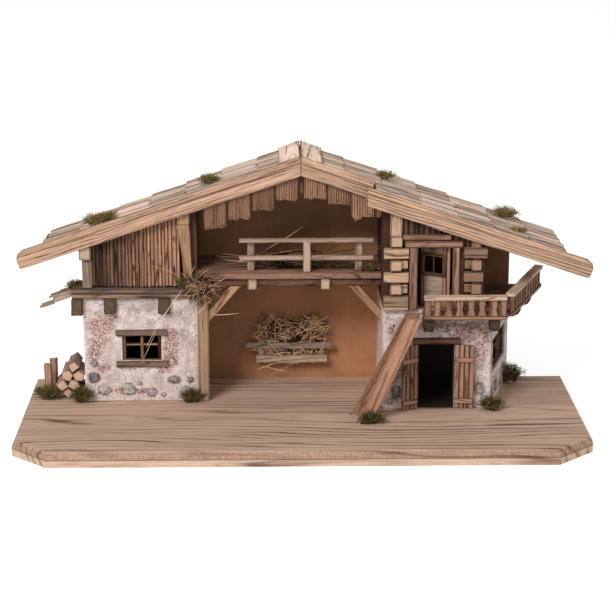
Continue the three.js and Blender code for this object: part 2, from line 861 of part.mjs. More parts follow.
function rightLogCorner() {
  const far = rightHouseFront + wallThickness;
  const left = rightCornerLeft + 1;
  const crossLeft = rightCornerLeft + rightCrossStart;
  const crossRight = crossLeft + rightCrossWidth;
  const foot = rightFloorTop + rightCornerSill;
  const sill = block(left, crossRight, logFront + 2, rightHouseFront - glueGap, rightFloorTop, foot);
  const count = logCount(foot, crossRight, rightCornerCap);
  const logs = Array.from({ length: count }, (_, i) => {
    const right = i === count - 1 ? rightCornerLeft + rightCornerLong : crossRight + 2;
    return logCourse(i, foot + i * logRise, left, i % 2 ? crossRight : right, crossLeft, crossRight);
  });
  const top = foot + count * logRise - logGap - overlap;
  const cap = prism("y", gableWall(crossLeft, crossRight, top), logFront + 3, far);
  return join(sill, ...logs.flat(), cap);
}

// The log house's front: vertical boards round the balcony door, up to the porch roof.
function upperFrontWall() {
  const left = crossLogRight + glueGap;
  const right = rightCornerLeft + rightCrossStart - glueGap;
  const doorTop = balconyDoorTop;
  const outline = [
    [left, rightFloorTop], [balconyDoorLeft, rightFloorTop], [balconyDoorLeft, doorTop],
    [balconyJamb, doorTop], [balconyJamb, rightFloorTop], [right, rightFloorTop], [right, roofUnder(right)],
    [left, roofUnder(left)],
  ];
  return plankPanel(outline, left, right, rightHouseFront, upperWallThickness);
}

function upperSideWall() {
  const x1 = rightCornerLeft + rightCornerLong;
  const x0 = x1 - upperWallThickness;
  const y0 = rightHouseFront + wallThickness;
  return prism("y", gableWall(x0, x1, rightFloorTop), y0, back);
}

function header() {
  const low = balconyDoorTop + balconyLintelHeight + headerGap;
  const left = crossLogRight + glueGap;
  const front = rightHouseFront - headerDepth;
  return block(left, left + headerWidth, front, rightHouseFront, low, low + headerHeight);
}

function balconyDoorFrame() {
  const y0 = rightHouseFront - balconyFrameDepth;
  const top = balconyDoorTop;
  const high = top + overlap;
  const edge = balconyDoorLeft;
  const left = block(edge - balconyJambWidth, edge, y0, rightHouseFront, rightFloorTop, high);
  const right = block(balconyJamb, balconyJamb + balconyTrimWidth, y0, rightHouseFront, rightFloorTop, high);
  const lintel = block(balconyLintelLeft, rightCornerLeft - glueGap, y0 - 1, rightHouseFront, top,
    top + balconyLintelHeight);
  return join(left, right, lintel);
}

// The balcony door, drawn shut to the left of its hinge line, with a framed pane.
function balconyLeaf() {
  const low = rightFloorTop + doorGap;
  const high = balconyDoorTop - doorGap;
  const left = -balconyLeafWidth + doorGap;
  const pane0 = -balconyPaneStart - balconyPaneWidth;
  const paneLow = high - balconyPaneDrop - balconyPaneHeight;
  const half = balconyLeafThickness / 2;
  const pane = rectangle(pane0, pane0 + balconyPaneWidth, paneLow, paneLow + balconyPaneHeight);
  const leaf = prism("y", rectangle(left, 0, low, high), -half + 1, half, [pane.slice().reverse()]);
  const bar = 3.5;
  const outer = rectangle(pane0 - bar, pane0 + balconyPaneWidth + bar, paneLow - bar,
    paneLow + balconyPaneHeight + bar);
  const surround = prism("y", outer, -half, half - overlap, [pane.slice().reverse()]);
  const middle = pane0 + balconyPaneWidth / 2;
  const paneHigh = paneLow + balconyPaneHeight;
  const mullion = block(middle - 1, middle + 1, -half + 0.5, half - 1, paneLow - 1, paneHigh + 1);
  return join(leaf, surround, mullion);
}

// Balcony

// The upper floor, which runs out as the balcony past the front and round the side.
function balconyFloor() {
  const y0 = rightHouseFront + wallThickness;
  const x0 = hallRight + wallThickness;
  const plan = [
    [x0, y0], [balconyLeft, y0], [balconyLeft, balconyFront], [balconyFrontRight, balconyFront],
    [balconyBackRight, back], [x0, back],
  ];
  const board = prism("z", plan, rightFloorUnder, rightFloorTop);
  const joists = [balconyLeft + 0.5, balconyFrontRight - balconyJoistInset].map((x) => {
    const low = rightFloorUnder - balconyJoistHeight;
    const tip = balconyFront + 4;
    const side = [
      [rightHouseFront, low], [rightHouseFront, rightFloorUnder + overlap], [tip, rightFloorUnder + overlap],
      [tip, low + 7], [tip + 2, low + 2.5], [tip + 7, low],
    ];
    return prism("x", side.reverse(), x, x + balconyJoistWidth);
  });
  const sideJoists = [0.4, 0.8].map((share) => {
    const y = rightHouseFront + share * (back - rightHouseFront);
    const depth = (y - balconyFront) / (back - balconyFront);
    const tip = balconyFrontRight + (balconyBackRight - balconyFrontRight) * depth;
    const low = rightFloorUnder - balconyJoistHeight;
    const x0j = splayX(y + balconyJoistWidth) + glueGap;
    const front = [
      [x0j, low], [tip - 9, low], [tip - 4, low + 2.5], [tip - 2, low + 7],
      [tip - 2, rightFloorUnder + overlap], [x0j, rightFloorUnder + overlap],
    ];
    return prism("y", front, y, y + balconyJoistWidth);
  });
  return join(board, ...joists, ...sideJoists);
}

// Flat sawn balusters between a handrail and a skirt board, drawn along X with the outer face at Y 0.
// The ends may have plain panels.
function balustrade(length, endPanel) {
  const handrail = block(0, length, -handrailDepth / 4, handrailDepth * 0.75,
    railingRise - handrailHeight, railingRise);
  const skirt = block(0, length, -1.5, balusterThickness, -skirtHeight, 0.5);
  const free = length - 2 * endPanel;
  const count = Math.max(2, Math.round(free / balusterPitch));
  const pitch = free / count;
  const bars = [];
  const high = railingRise - handrailHeight + overlap;
  for (let i = 0; i < count; i += 1) {
    const x = endPanel + (i + 0.5) * pitch;
    const wide = balusterWidth / 2;
    const slim = balusterWaist / 2;
    const shape = new THREE.Shape();
    shape.moveTo(x - wide, -1);
    shape.lineTo(x + wide, -1);
    shape.lineTo(x + wide, 2);
    shape.quadraticCurveTo(x + slim - 1, high * 0.25, x + slim, high * 0.6);
    shape.lineTo(x + slim, high);
    shape.lineTo(x - slim, high);
    shape.lineTo(x - slim, high * 0.6);
    shape.quadraticCurveTo(x - slim + 1, high * 0.25, x - wide, 2);
    bars.push(prismOfShape("y", shape, 0, balusterThickness));
  }
  if (endPanel > 0) {
    bars.push(block(0, endPanel, 0, balusterThickness, -1, high));
    bars.push(block(length - endPanel, length, 0, balusterThickness, -1, high));
  }
  return join(handrail, skirt, ...bars);
}

function frontBalustrade() {
  const rail = balustrade(balconyFrontRight - balconyLeft, balconyEndPanel);
  const place = new THREE.Matrix4().makeTranslation(balconyLeft, balconyFront - balusterThickness - glueGap,
    rightFloorTop);
  return tidy(rail.applyMatrix4(place));
}

function sideBalustrade() {
  const run = balconyBackRight - balconyFrontRight;
  const depth = back - balconyFront;
  const length = Math.hypot(run, depth);
  const angle = Math.atan2(depth, run);
  const mitre = handrailDepth;
  const rail = balustrade(length - mitre, 0);
  const out = balusterThickness + glueGap;
  const place = new THREE.Matrix4().makeRotationZ(angle);
  place.setPosition(
    balconyFrontRight + out * Math.sin(angle) + mitre * Math.cos(angle),
    balconyFront - out * Math.cos(angle) + mitre * Math.sin(angle),
    rightFloorTop,
  );
  return rail.applyMatrix4(place);
}

// Ladder: two slanted boards with treads between them, the far one with its foot further out.
function ladder() {
  const rise = ladderTop - ground;
  const edge = (z, splay) => ladderFootLeft - splay + (z - ground) * (ladderRun + splay / rise);
  const board = (y, splay) => prism("y", [
    [edge(ground, splay), ground], [edge(ground, splay) + ladderBoardRun, ground],
    [edge(ladderTop, splay) + ladderBoardRun, ladderTop], [edge(ladderTop, splay), ladderTop],
  ], y, y + ladderBoardThickness);
  const far = ladderFront + ladderWidth - ladderBoardThickness;
  const treads = Array.from({ length: treadCount }, (_, i) => {
    const z = ladderTop - treadThickness - 1.5 - i * treadSpacing;
    const near = ladderFront + ladderBoardThickness - overlap;
    const left = [edge(z, 0) + 1.5, edge(z, ladderSplay) + 1.5];
    const run = ladderBoardRun - 3;
    const y1 = far + overlap;
    const plan = [[left[0], near], [left[0] + run, near], [left[1] + run, y1], [left[1], y1]];
    return prism("z", plan, z, z + treadThickness);
  });
  return join(board(ladderFront, 0), board(far, ladderSplay), ...treads);
}

// Hay rack, hay and wood

function hayRack() {
  const front = back - rackStandOff;
  const upper = ground + rackUpperBottom;
  const lower = ground + rackLowerBottom;
  const inset = (rackWidth - rackLowerWidth) / 2;
  const lowerLeft = rackLeft + inset + 3;
  const rails = [
    block(rackLeft, rackLeft + rackWidth, front, front + rackBoardThickness, upper, upper + rackUpperHeight),
    block(lowerLeft, lowerLeft + rackLowerWidth, front, front + rackBoardThickness, lower,
      lower + rackLowerHeight),
  ];
  const posts = [lowerLeft + 4, lowerLeft + rackLowerWidth - rackPostWidth - 4].map((x) => (
    block(x, x + rackPostWidth, front + rackBoardThickness - overlap, back, lower, upper + rackUpperHeight)
  ));
  return join(...rails, ...posts);
}

// Hay heaped between the rack and the back panel, wider above the rack's posts.
function rackHay() {
  const gap = 4 + rackPostWidth + glueGap;
  const left = rackLeft + (rackWidth - rackLowerWidth) / 2 + 3 + gap;
  const right = left + rackLowerWidth - 2 * gap;
  const low = ground + rackLowerBottom + 4;
  const high = ground + rackUpperBottom + rackUpperHeight + glueGap;
  const wide = hayOverhang;
  const heap = [[wide, 1], [wide - 3, hayHeight * 0.6], [-12, hayHeight]];
  const top = heap.map(([along, up]) => [right + along, high + up]);
  const slope = [[30, hayHeight * 0.9], [4 - wide, hayHeight * 0.65], [-wide, 1], [0, 0]];
  const down = slope.map(([along, up]) => [left + along, high + up]);
  const outline = [[left, low], [right, low], [right, high], ...top, ...down];
  const y0 = back - rackStandOff + rackBoardThickness + glueGap;
  return prism("y", outline, y0, back - glueGap);
}

// A low heap of hay on the loft, behind the railing.
function loftHay() {
  const left = hallLeft + loftHayStart;
  const z = loftTop + glueGap;
  const shares = [[0, 0], [1, 0], [0.92, 0.4], [0.7, 0.8], [0.48, 1], [0.28, 0.75], [0.06, 0.33]];
  const outline = shares.map(([along, up]) => [left + along * loftHayWidth, z + up * loftHayRise]);
  const y0 = leftHouseFront + 2 * railThickness + 6;
  return prism("y", outline, y0, y0 + loftHayDepth);
}

// The straw that hangs over the hall post's head, from the ledge to the loft.
function strawTuft() {
  const left = hallLeft - tuftWidth * 0.37;
  const low = loftUnder - joistHeight;
  const height = loftTop + 3 - low;
  const shares = [[0, 0.4], [0.4, 0], [0.87, 0.4], [1, 0.8], [0.4, 1], [0, 0.8]];
  const outline = shares.map(([along, up]) => [left + along * tuftWidth, low + up * height]);
  const y = hallPostFront - glueGap;
  return prism("y", outline, y - tuftThickness, y);
}

// Split logs laid from front to back against the left wall, beside two stakes.
function woodStack() {
  const right = leftHouseEdge - glueGap - logRadius * logBulge;
  const y0 = leftHouseFront + 4;
  const logs = [];
  const rows = [2, 2, 2, 1];
  const shift = logRadius * 0.9;
  rows.forEach((count, row) => {
    for (let i = 0; i < count; i += 1) {
      const x = right - logRadius - i * logRadius * 1.9 - (row % 2 ? shift : 0);
      const z = ground + logRadius * 0.94 + row * logRadius * 1.5;
      const start = y0 + 3 * ((i + row) % 2);
      logs.push(splitLog(x, z, start, start + stackDepth, row + i));
    }
  });
  return join(...logs);
}

// A stake beside the stack; the front one stands a little further out.
function stake(out, along) {
  const right = leftHouseEdge - 5 * logRadius - out;
  const y = leftHouseFront + along;
  return block(right - stakeSize, right, y, y + stakeSize, ground, ground + stakeHeight);
}

function splitLog(x, z, y0, y1, turn) {
  const sides = 7;
  const outline = Array.from({ length: sides }, (_, i) => {
    const angle = 2 * Math.PI * (i + turn * 0.4) / sides;
    const radius = logRadius * (i % 3 === turn % 3 ? 1 : 1 + logBulge);
    return [x + radius * Math.cos(angle), Math.max(z + radius * Math.sin(angle), ground)];
  });
  return prism("y", outline, y0, y1);
}

const stable = new THREE.Group();

function add(parent, name, geometry, wood) {
  const [color, roughness] = woods[wood];
  const material = new THREE.MeshStandardMaterial({ color, roughness, metalness: 0 });
  const mesh = new THREE.Mesh(geometry, material);
  mesh.name = name;
  parent.add(mesh);
  return mesh;
}

// A leaf that hangs on a vertical hinge line, turned by its opening angle.
function hang(name, geometry, x, y, degrees, wood) {
  const leaf = add(stable, name, geometry, wood);
  leaf.position.set(x, y, 0);
  leaf.rotation.z = THREE.MathUtils.degToRad(degrees);
}

add(stable, "base_board", baseBoard(), "base");
const panel = prism("y", gableWall(panelLeft, panelRight, 0), back, back + panelThickness);
add(stable, "back_panel", panel, "panel");

add(stable, "left_front_wall", leftFrontWall(), "plaster");
add(stable, "left_side_wall", leftSideWall(), "plaster");
add(stable, "left_partition", partition(), "panel");
add(stable, "left_window_frame", leftWindowFrame(), "dark");
const leftLintelLow = ground + leftWindowBottom + leftWindowHeight;
add(stable, "left_window_lintel", windowBeam(leftLintelLow, leftLintelHeight), "dark");
const sillFoot = ground + leftWindowBottom - leftSillHeight;
add(stable, "left_window_sill", windowBeam(sillFoot, leftSillHeight), "dark");
add(stable, "left_floor", leftFloor(), "beam");
add(stable, "left_ledge_board", leftLedge(), "beam");
add(stable, "left_siding", leftSiding(), "siding");
add(stable, "left_side_siding", leftSideSiding(), "siding");
add(stable, "left_corner_post", cornerPost(), "beam");
add(stable, "left_wall_plate", wallPlate(), "beam");
add(stable, "left_inner_post", innerPost(), "beam");
add(stable, "shed_roof", shedRoof(), "shingle");

add(stable, "hall_post", hallPost(), "beam");
add(stable, "loft_floor", loftFloor(), "beam");
add(stable, "loft_beam", loftBeam(), "dark");
add(stable, "brace_left", brace(hallLeft + postSize, 1), "beam");
add(stable, "brace_right", brace(hallRight, -1), "beam");
add(stable, "loft_railing", loftRailing(), "beam");
add(stable, "ridge_beam", ridgeBeam(), "dark");
const four = Array(4).fill(hangingWidth);
const leftBoards = hangingBoards(-hangingGap / 2 - 4 * hangingWidth, four, leftHangingDrops);
const rightWidths = [...four.slice(1), lastHangingWidth];
const rightBoards = hangingBoards(hangingGap / 2, rightWidths, rightHangingDrops);
add(stable, "hanging_boards_left", leftBoards, "siding");
add(stable, "hanging_boards_right", rightBoards, "siding");

add(stable, "roof_board_left", roofBoard(leftEave, 0, roofFront), "roof");
add(stable, "roof_board_right", rightRoofBoard(), "roof");
add(stable, "shingles_left", shingles(-1, leftEave, () => roofFront), "shingle");
const porchEdge = (x) => (x > porchLeft ? porchFront : roofFront);
add(stable, "shingles_right", shingles(1, rightEave, porchEdge), "shingle");
add(stable, "ridge_cap_left", ridgeCap(-1), "shingle");
add(stable, "ridge_cap_right", ridgeCap(1), "shingle");
add(stable, "barge_board_left", bargeBoard(-1, -glueGap, leftEave, bargeFront, 0), "barge");
add(stable, "barge_board_inner", innerBarge(), "barge");
const porchBarge = bargeBoard(1, porchLeft - porchLap, rightEave, porchBargeFront, porchDrop);
add(stable, "barge_board_right", porchBarge, "barge");

add(stable, "right_front_wall", rightFrontWall(), "plaster");
add(stable, "right_side_wall", rightSideWall(), "plaster");
add(stable, "right_partition", rightPartition(), "plaster");
add(stable, "right_window_frame", sideWindowFrame(), "dark");
add(stable, "stable_door_lintel", stableLintel(), "dark");
hang("stable_door_left", stableLeaf(1), stableDoorCentre - stableHingeReach, hingeY, -leftLeafOpen, "beam");
hang("stable_door_right", stableLeaf(-1), stableDoorCentre + stableHingeReach, hingeY, rightLeafOpen, "beam");

add(stable, "log_corner_left", leftLogCorner(), "log");
add(stable, "log_corner_right", rightLogCorner(), "log");
add(stable, "upper_front_wall", upperFrontWall(), "siding");
add(stable, "upper_side_wall", upperSideWall(), "siding");
add(stable, "door_header", header(), "dark");
add(stable, "balcony_door_frame", balconyDoorFrame(), "beam");
const balconyHingeY = rightHouseFront + upperWallThickness / 2;
hang("balcony_door", balconyLeaf(), balconyDoorHinge, balconyHingeY, -balconyLeafOpen, "dark");

add(stable, "balcony_floor", balconyFloor(), "beam");
add(stable, "balcony_front_railing", frontBalustrade(), "log");
add(stable, "balcony_side_railing", sideBalustrade(), "log");
add(stable, "ladder", ladder(), "ladder");

add(stable, "hay_rack", hayRack(), "beam");
add(stable, "rack_hay", rackHay(), "hay");
add(stable, "loft_hay", loftHay(), "hay");
add(stable, "straw_tuft", strawTuft(), "hay");
add(stable, "wood_stack", woodStack(), "log");
add(stable, "front_stake", stake(frontStakeOut, 10), "log");
add(stable, "rear_stake", stake(glueGap, stackDepth - 8), "log");

export default stable;
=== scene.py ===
"""A nativity stable: stone house, open hall and log house with a balcony, on one board."""

import math
import random

import bpy
import numpy as np
from bpy.props import FloatProperty, FloatVectorProperty, IntProperty, PointerProperty
from mathutils import Matrix, Vector


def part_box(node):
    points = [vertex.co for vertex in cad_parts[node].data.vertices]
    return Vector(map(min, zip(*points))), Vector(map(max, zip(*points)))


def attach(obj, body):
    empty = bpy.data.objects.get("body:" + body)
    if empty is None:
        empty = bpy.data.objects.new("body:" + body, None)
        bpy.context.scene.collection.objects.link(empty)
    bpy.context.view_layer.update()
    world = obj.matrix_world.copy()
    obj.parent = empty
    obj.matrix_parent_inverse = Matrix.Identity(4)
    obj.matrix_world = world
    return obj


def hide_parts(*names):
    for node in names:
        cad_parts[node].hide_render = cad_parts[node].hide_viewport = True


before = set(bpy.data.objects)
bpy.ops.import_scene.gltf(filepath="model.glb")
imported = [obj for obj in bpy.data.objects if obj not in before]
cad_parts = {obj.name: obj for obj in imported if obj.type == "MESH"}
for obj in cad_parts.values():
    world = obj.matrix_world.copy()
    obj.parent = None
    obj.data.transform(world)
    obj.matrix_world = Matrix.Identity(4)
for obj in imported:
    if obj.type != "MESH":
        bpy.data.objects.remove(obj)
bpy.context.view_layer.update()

bl_info = {
    "name": "Nativity stable",
    "version": (1, 0, 0),
    "blender": (4, 5, 0),
    "location": "View3D > Sidebar > Stable",
    "description": "Weathered wood, plaster, hay and moss for a nativity stable",
    "category": "Object",
}

dice = random.Random(24)
materials = {}


def paint(red, green, blue):
    """A colour as a painter reads it from a chart, 0 to 255, as Blender's linear light."""
    return tuple(((c / 255 + 0.055) / 1.055) ** 2.4 if c > 10 else c / 3295 for c in (red, green, blue))


# Levels and slopes of the stable, in millimetres

GROUND = 19.0
ROOF_SLOPE, ROOF_UNDER, ROOF_TOP = 0.355, 324.3, 331.0
BARGE_SLOPE, BARGE_TOP = 0.335, 336.6
LEFT_FLOOR, LEDGE_UNDER, LEDGE_TOP = 154.5, 160.9, 167.3
LOFT_UNDER, LOFT_TOP = 178.5, 187.5
RIGHT_FLOOR, BALCONY_UNDER, BALCONY_TOP = 141.0, 141.2, 147
HOUSE_FRONT, LOG_FRONT, PANEL_FRONT = 54, 17, 149.5
LEFT_SIDE, RIGHT_SIDE = -275, 230.5
LEFT_FLOOR_END, HALL_LEFT, HALL_RIGHT, BALCONY_LEFT = -290, -131, 102, 150.5
LOG_PITCH, LOG_HEIGHT = 15.2, 13.2

# The right house's side wall and the balcony's side run outwards to the back: (sideways, backwards)
WALL_RUN = (38, 133)
RAIL_RUN = (60.5, 162)
WALL_CORNER = (237, 17)
RAIL_CORNER = (253, -12)
RAIL_TURN = math.atan2(RAIL_RUN[1], RAIL_RUN[0])
SPLAY = Matrix.Translation((*WALL_CORNER, 0)) @ Matrix.Rotation(math.atan2(WALL_RUN[1], WALL_RUN[0]), 4, "Z")
LEFT_WALL = Matrix.Translation((LEFT_SIDE, 0, 0)) @ Matrix.Rotation(-math.pi / 2, 4, "Z")
RIGHT_WALL = Matrix.Translation((RIGHT_SIDE, 0, 0)) @ Matrix.Rotation(math.pi / 2, 4, "Z")


def roof_under(x):
    return ROOF_UNDER - ROOF_SLOPE * np.abs(x)


def roof_top(x):
    return ROOF_TOP - ROOF_SLOPE * np.abs(x)


def placed(points, place):
    """Points of a wall's or door's own plan, moved to its place."""
    return points if place is None else points @ np.array(place.to_3x3()).T + np.array(place.translation)


def cad(node):
    """The corners of a CAD solid in millimetres."""
    lo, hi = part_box(node)
    return np.array(lo) * 1000, np.array(hi) * 1000


# Noise and meshes

def noise(points, seed=0):
    """Smooth noise from -1 to 1 at each point."""
    cell = np.floor(points).astype(np.int64)
    part = points - cell
    part = part * part * (3 - 2 * part)
    total = np.zeros(points.shape[:-1])
    for corner in np.ndindex(2, 2, 2):
        at = cell + np.array(corner)
        mixed = at[..., 0] * 374761393 + at[..., 1] * 668265263 + at[..., 2] * 1103515245 + seed * 69069
        mixed = (mixed ^ (mixed >> 13)) * 1274126177
        mixed = (mixed ^ (mixed >> 16)) & 0xffff
        weight = np.prod(np.where(np.array(corner) == 1, part, 1 - part), axis=-1)
        total += (mixed / 32767.5 - 1) * weight
    return total


def rough(points, seed=0, octaves=3):
    """Noise with finer noise on it, from about -1 to 1."""
    total = 0
    for i in range(octaves):
        total = total + noise(points * 2 ** i, seed + i) / 2 ** i
    return total / 1.6


class Pile:
    """Boards, stones or strands that become one object, each with its own grain and shade."""

    def __init__(self):
        self.points, self.faces, self.grain, self.shade = [], [], [], []
        self.count = 0

    def add(self, points, faces, grain, shade):
        self.points.append(points.reshape(-1, 3))
        self.grain.append(grain.reshape(-1, 3))
        self.shade.append(shade.reshape(-1, 3))
        self.faces.extend((np.asarray(rows) + self.count).tolist() for rows in faces if len(rows))
        self.count += self.points[-1].shape[0]

    def finish(self, name, finish, node=None, body="stable", slot=None, sharp=38):
        """Makes the object in metres, in place of a node, and hangs it on the body that it belongs to."""
        mesh = bpy.data.meshes.new(name)
        points = np.concatenate(self.points) * 0.001
        mesh.from_pydata(points.tolist(), [], [face for rows in self.faces for face in rows])
        for key, rows, scale in (("grain", self.grain, 0.001), ("shade", self.shade, 1)):
            data = (np.concatenate(rows) * scale).astype(np.float32)
            mesh.attributes.new(key, "FLOAT_VECTOR", "POINT").data.foreach_set("vector", data.ravel())
        mesh.materials.append(materials[finish])
        mesh.shade_smooth()
        mesh.set_sharp_from_angle(angle=math.radians(sharp))
        piece = bpy.data.objects.new(name, mesh)
        bpy.context.scene.collection.objects.link(piece)
        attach(piece, body)
        if node:
            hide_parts(node)


def end_outline(width, thick, corner, fine):
    """The outline of a board's end: points, outward directions, and 1 at each corner."""
    half = np.array([width / 2, thick / 2])
    across = max(2, round(width / fine))
    through = max(2, round(thick / fine))
    corner = min(corner, 0.3 * min(width, thick))
    rows = []
    for steps, outward in ((across, (0, -1)), (through, (1, 0)), (across, (0, 1)), (through, (-1, 0))):
        side = np.array(outward)
        along = np.array([-outward[1], outward[0]])
        reach = abs(half @ along) - corner
        for i in range(steps + 1):
            t = -1 + 2 * i / steps
            at = side * abs(half @ side) + along * reach * t
            rows.append((*at, *side, 1.0 if i in (0, steps) else 0.0))
    rows = np.array(rows)
    return rows[:, :2], rows[:, 2:4], rows[:, 4]


def split_outline(corners, fine):
    """The outline of a split log's end, from its corners."""
    rows = []
    for (ax, az), (bx, bz) in zip(corners, np.roll(corners, -1, 0)):
        reach = math.hypot(bx - ax, bz - az)
        steps = max(2, round(reach / fine))
        for i in range(steps):
            t = i / steps
            rows.append((ax + (bx - ax) * t, az + (bz - az) * t, (bz - az) / reach, (ax - bx) / reach, float(i == 0)))
    rows = np.array(rows)
    return rows[:, :2], rows[:, 2:4], rows[:, 4]


def timber(pile, start, end, width, thick, up=(0, 0, 1), relief=0.3, wear=0.6, fray=(0, 0), step=4.0,
           fine=1.7, shape=None, place=None, clip=None, tint=None, pitch=3.4, heart=None, corners=None):
    """A worn board or beam from start to end, with its width along up, and the growth rings of its tree.

    relief is how deep the brushed rings are, wear how round the edges, fray how ragged each end, and fine and step
    how close the points lie across and along. shape lists (share of the length, width factor, thickness factor,
    shift along the width, shift through). heart tells where the middle of the tree lies from the board's middle,
    pitch how far apart its rings are, and corners gives the outline of a split log.
    """
    start, end = np.array(start, float), np.array(end, float)
    length = np.linalg.norm(end - start)
    u = (end - start) / length
    v = np.array(up, float)
    v = v - (v @ u) * u
    v /= np.linalg.norm(v)
    w = np.cross(u, v)
    outline, outward, edge = end_outline(width, thick, wear, fine) if corners is None else split_outline(corners, fine)
    bevel = min(wear, 0.2 * length)
    inner = np.linspace(bevel, length - bevel, max(2, round(length / step)))
    if shape:
        inner = np.union1d(inner, [min(max(row[0], 0.01), 0.99) * length for row in shape])
    stations = np.concatenate([[0], inner, [length]])
    count, ring = len(stations), len(outline)
    seed = dice.randrange(1 << 20)
    shift = np.array([dice.uniform(0, 900) for _ in range(3)])
    tint = dice.random() if tint is None else tint
    off_a, off_b = heart or (dice.uniform(-0.9, 0.9) * width, dice.uniform(6, 30))

    l = np.repeat(stations[:, None], ring, 1)
    a = np.repeat(outline[None, :, 0], count, 0)
    b = np.repeat(outline[None, :, 1], count, 0)
    scale_a, scale_b = np.ones(count), np.ones(count)
    move_a = move_b = 0
    if shape:
        rows = np.array(shape)
        share = stations / length
        scale_a, scale_b = (np.interp(share, rows[:, 0], rows[:, i]) for i in (1, 2))
        move_a, move_b = (np.interp(share, rows[:, 0], rows[:, i])[:, None] for i in (3, 4))
    tips = np.zeros(count)
    tips[[0, -1]] = bevel
    a = a * scale_a[:, None] * (1 - 2 * tips[:, None] / max(width, 1) * 0.9) + move_a
    b = b * scale_b[:, None] * (1 - 2 * tips[:, None] / max(thick, 1) * 0.9) + move_b

    local = np.stack([l, a, b], -1)
    moved = local + shift
    # growth rings, then what brushing and wear take off the faces and the ends
    wander = 2.2 * noise(moved / np.array([80, 26, 26]), seed) + 0.7 * noise(moved / np.array([24, 8, 8]), seed + 5)
    years = (np.hypot(a + off_a, b + off_b + 0.03 * (l - length / 2)) + wander) / pitch + shift[0]
    lines = np.cos(2 * np.pi * years)
    broad = noise(moved / np.array([45, 9, 9]), seed + 1)
    chips = np.clip(noise(moved / np.array([7, 3, 3]), seed + 2) - 0.2, 0, 1) * edge
    drop = relief * (0.5 - 0.5 * lines) + relief * 0.6 * broad + wear * 0.9 * chips
    a = a - outward[None, :, 0] * drop
    b = b - outward[None, :, 1] * drop
    rag = noise((np.stack([l * 0, a, b], -1) + shift) / 1.8, seed + 3)
    rag = rag + 0.8 * noise((np.stack([l * 0, a, b * 0.3], -1) + shift) / 5.0, seed + 4)
    for i, sign in ((0, 1), (-1, -1)):
        l[i] += sign * fray[i] * (0.55 + 0.5 * rag[i])
    if fray[0]:
        l[1:-1] = np.maximum(l[1:-1], l[0] + 0.05)
    if fray[1]:
        l[1:-1] = np.minimum(l[1:-1], l[-1] - 0.05)

    # shade holds the board's tint, how near the edge a point is (below 0 on the end grain), and its ring
    points = start + l[..., None] * u + a[..., None] * v + b[..., None] * w
    edges = np.repeat(edge[None], count, 0)
    edges[[0, -1]] = 1
    shade = np.stack([np.full((count, ring), tint), edges, years], -1)
    core = np.hypot(off_a, off_b) / pitch + shift[0]
    inset = min(0.6, 2.2 / min(width, thick))

    def with_ends(rows, middle):
        tips = rows[[0, -1]]
        return np.concatenate([rows.reshape(-1, 3), (tips + (middle - tips) * inset).reshape(-1, 3),
                               middle.reshape(-1, 3)])

    points = with_ends(points, points[[0, -1]].mean(1, keepdims=True))
    grain = with_ends(moved, moved[[0, -1]].mean(1, keepdims=True))
    shade = with_ends(shade, np.array([[[tint, -1.0, core]]] * 2))
    shade[count * ring:, 1] = -1
    if clip:
        points = clip(points)
    points = placed(points, place)
    j = np.arange(ring)
    k = (j + 1) % ring
    quads = [np.stack([i * ring + j, i * ring + k, (i + 1) * ring + k, (i + 1) * ring + j], 1)
             for i in range(count - 1)]
    last, near, far = (count - 1) * ring, count * ring, (count + 1) * ring
    quads += [np.stack([near + k, k, j, near + j], 1), np.stack([far + j, last + j, last + k, far + k], 1)]
    hub = np.full(ring, (count + 2) * ring)
    caps = [np.stack([hub, near + k, near + j], 1), np.stack([hub + 1, far + j, far + k], 1)]
    pile.add(points, [np.concatenate(quads), np.concatenate(caps)], grain, shade)


def boxed(pile, lo, hi, along, **details):
    """A worn board that fills a box, with its grain along x, y or z."""
    lo, hi = np.array(lo, float), np.array(hi, float)
    axis = "xyz".index(along)
    middle = (lo + hi) / 2
    start, end = middle.copy(), middle.copy()
    start[axis], end[axis] = lo[axis], hi[axis]
    size = hi - lo
    if along == "z":
        timber(pile, start, end, size[0], size[1], up=(1, 0, 0), **details)
    else:
        timber(pile, start, end, size[2], size[1 - axis], up=(0, 0, 1), **details)


def below_roof(points):
    points[:, 2] = np.minimum(points[:, 2], roof_under(points[:, 0]) - 0.3)
    return points


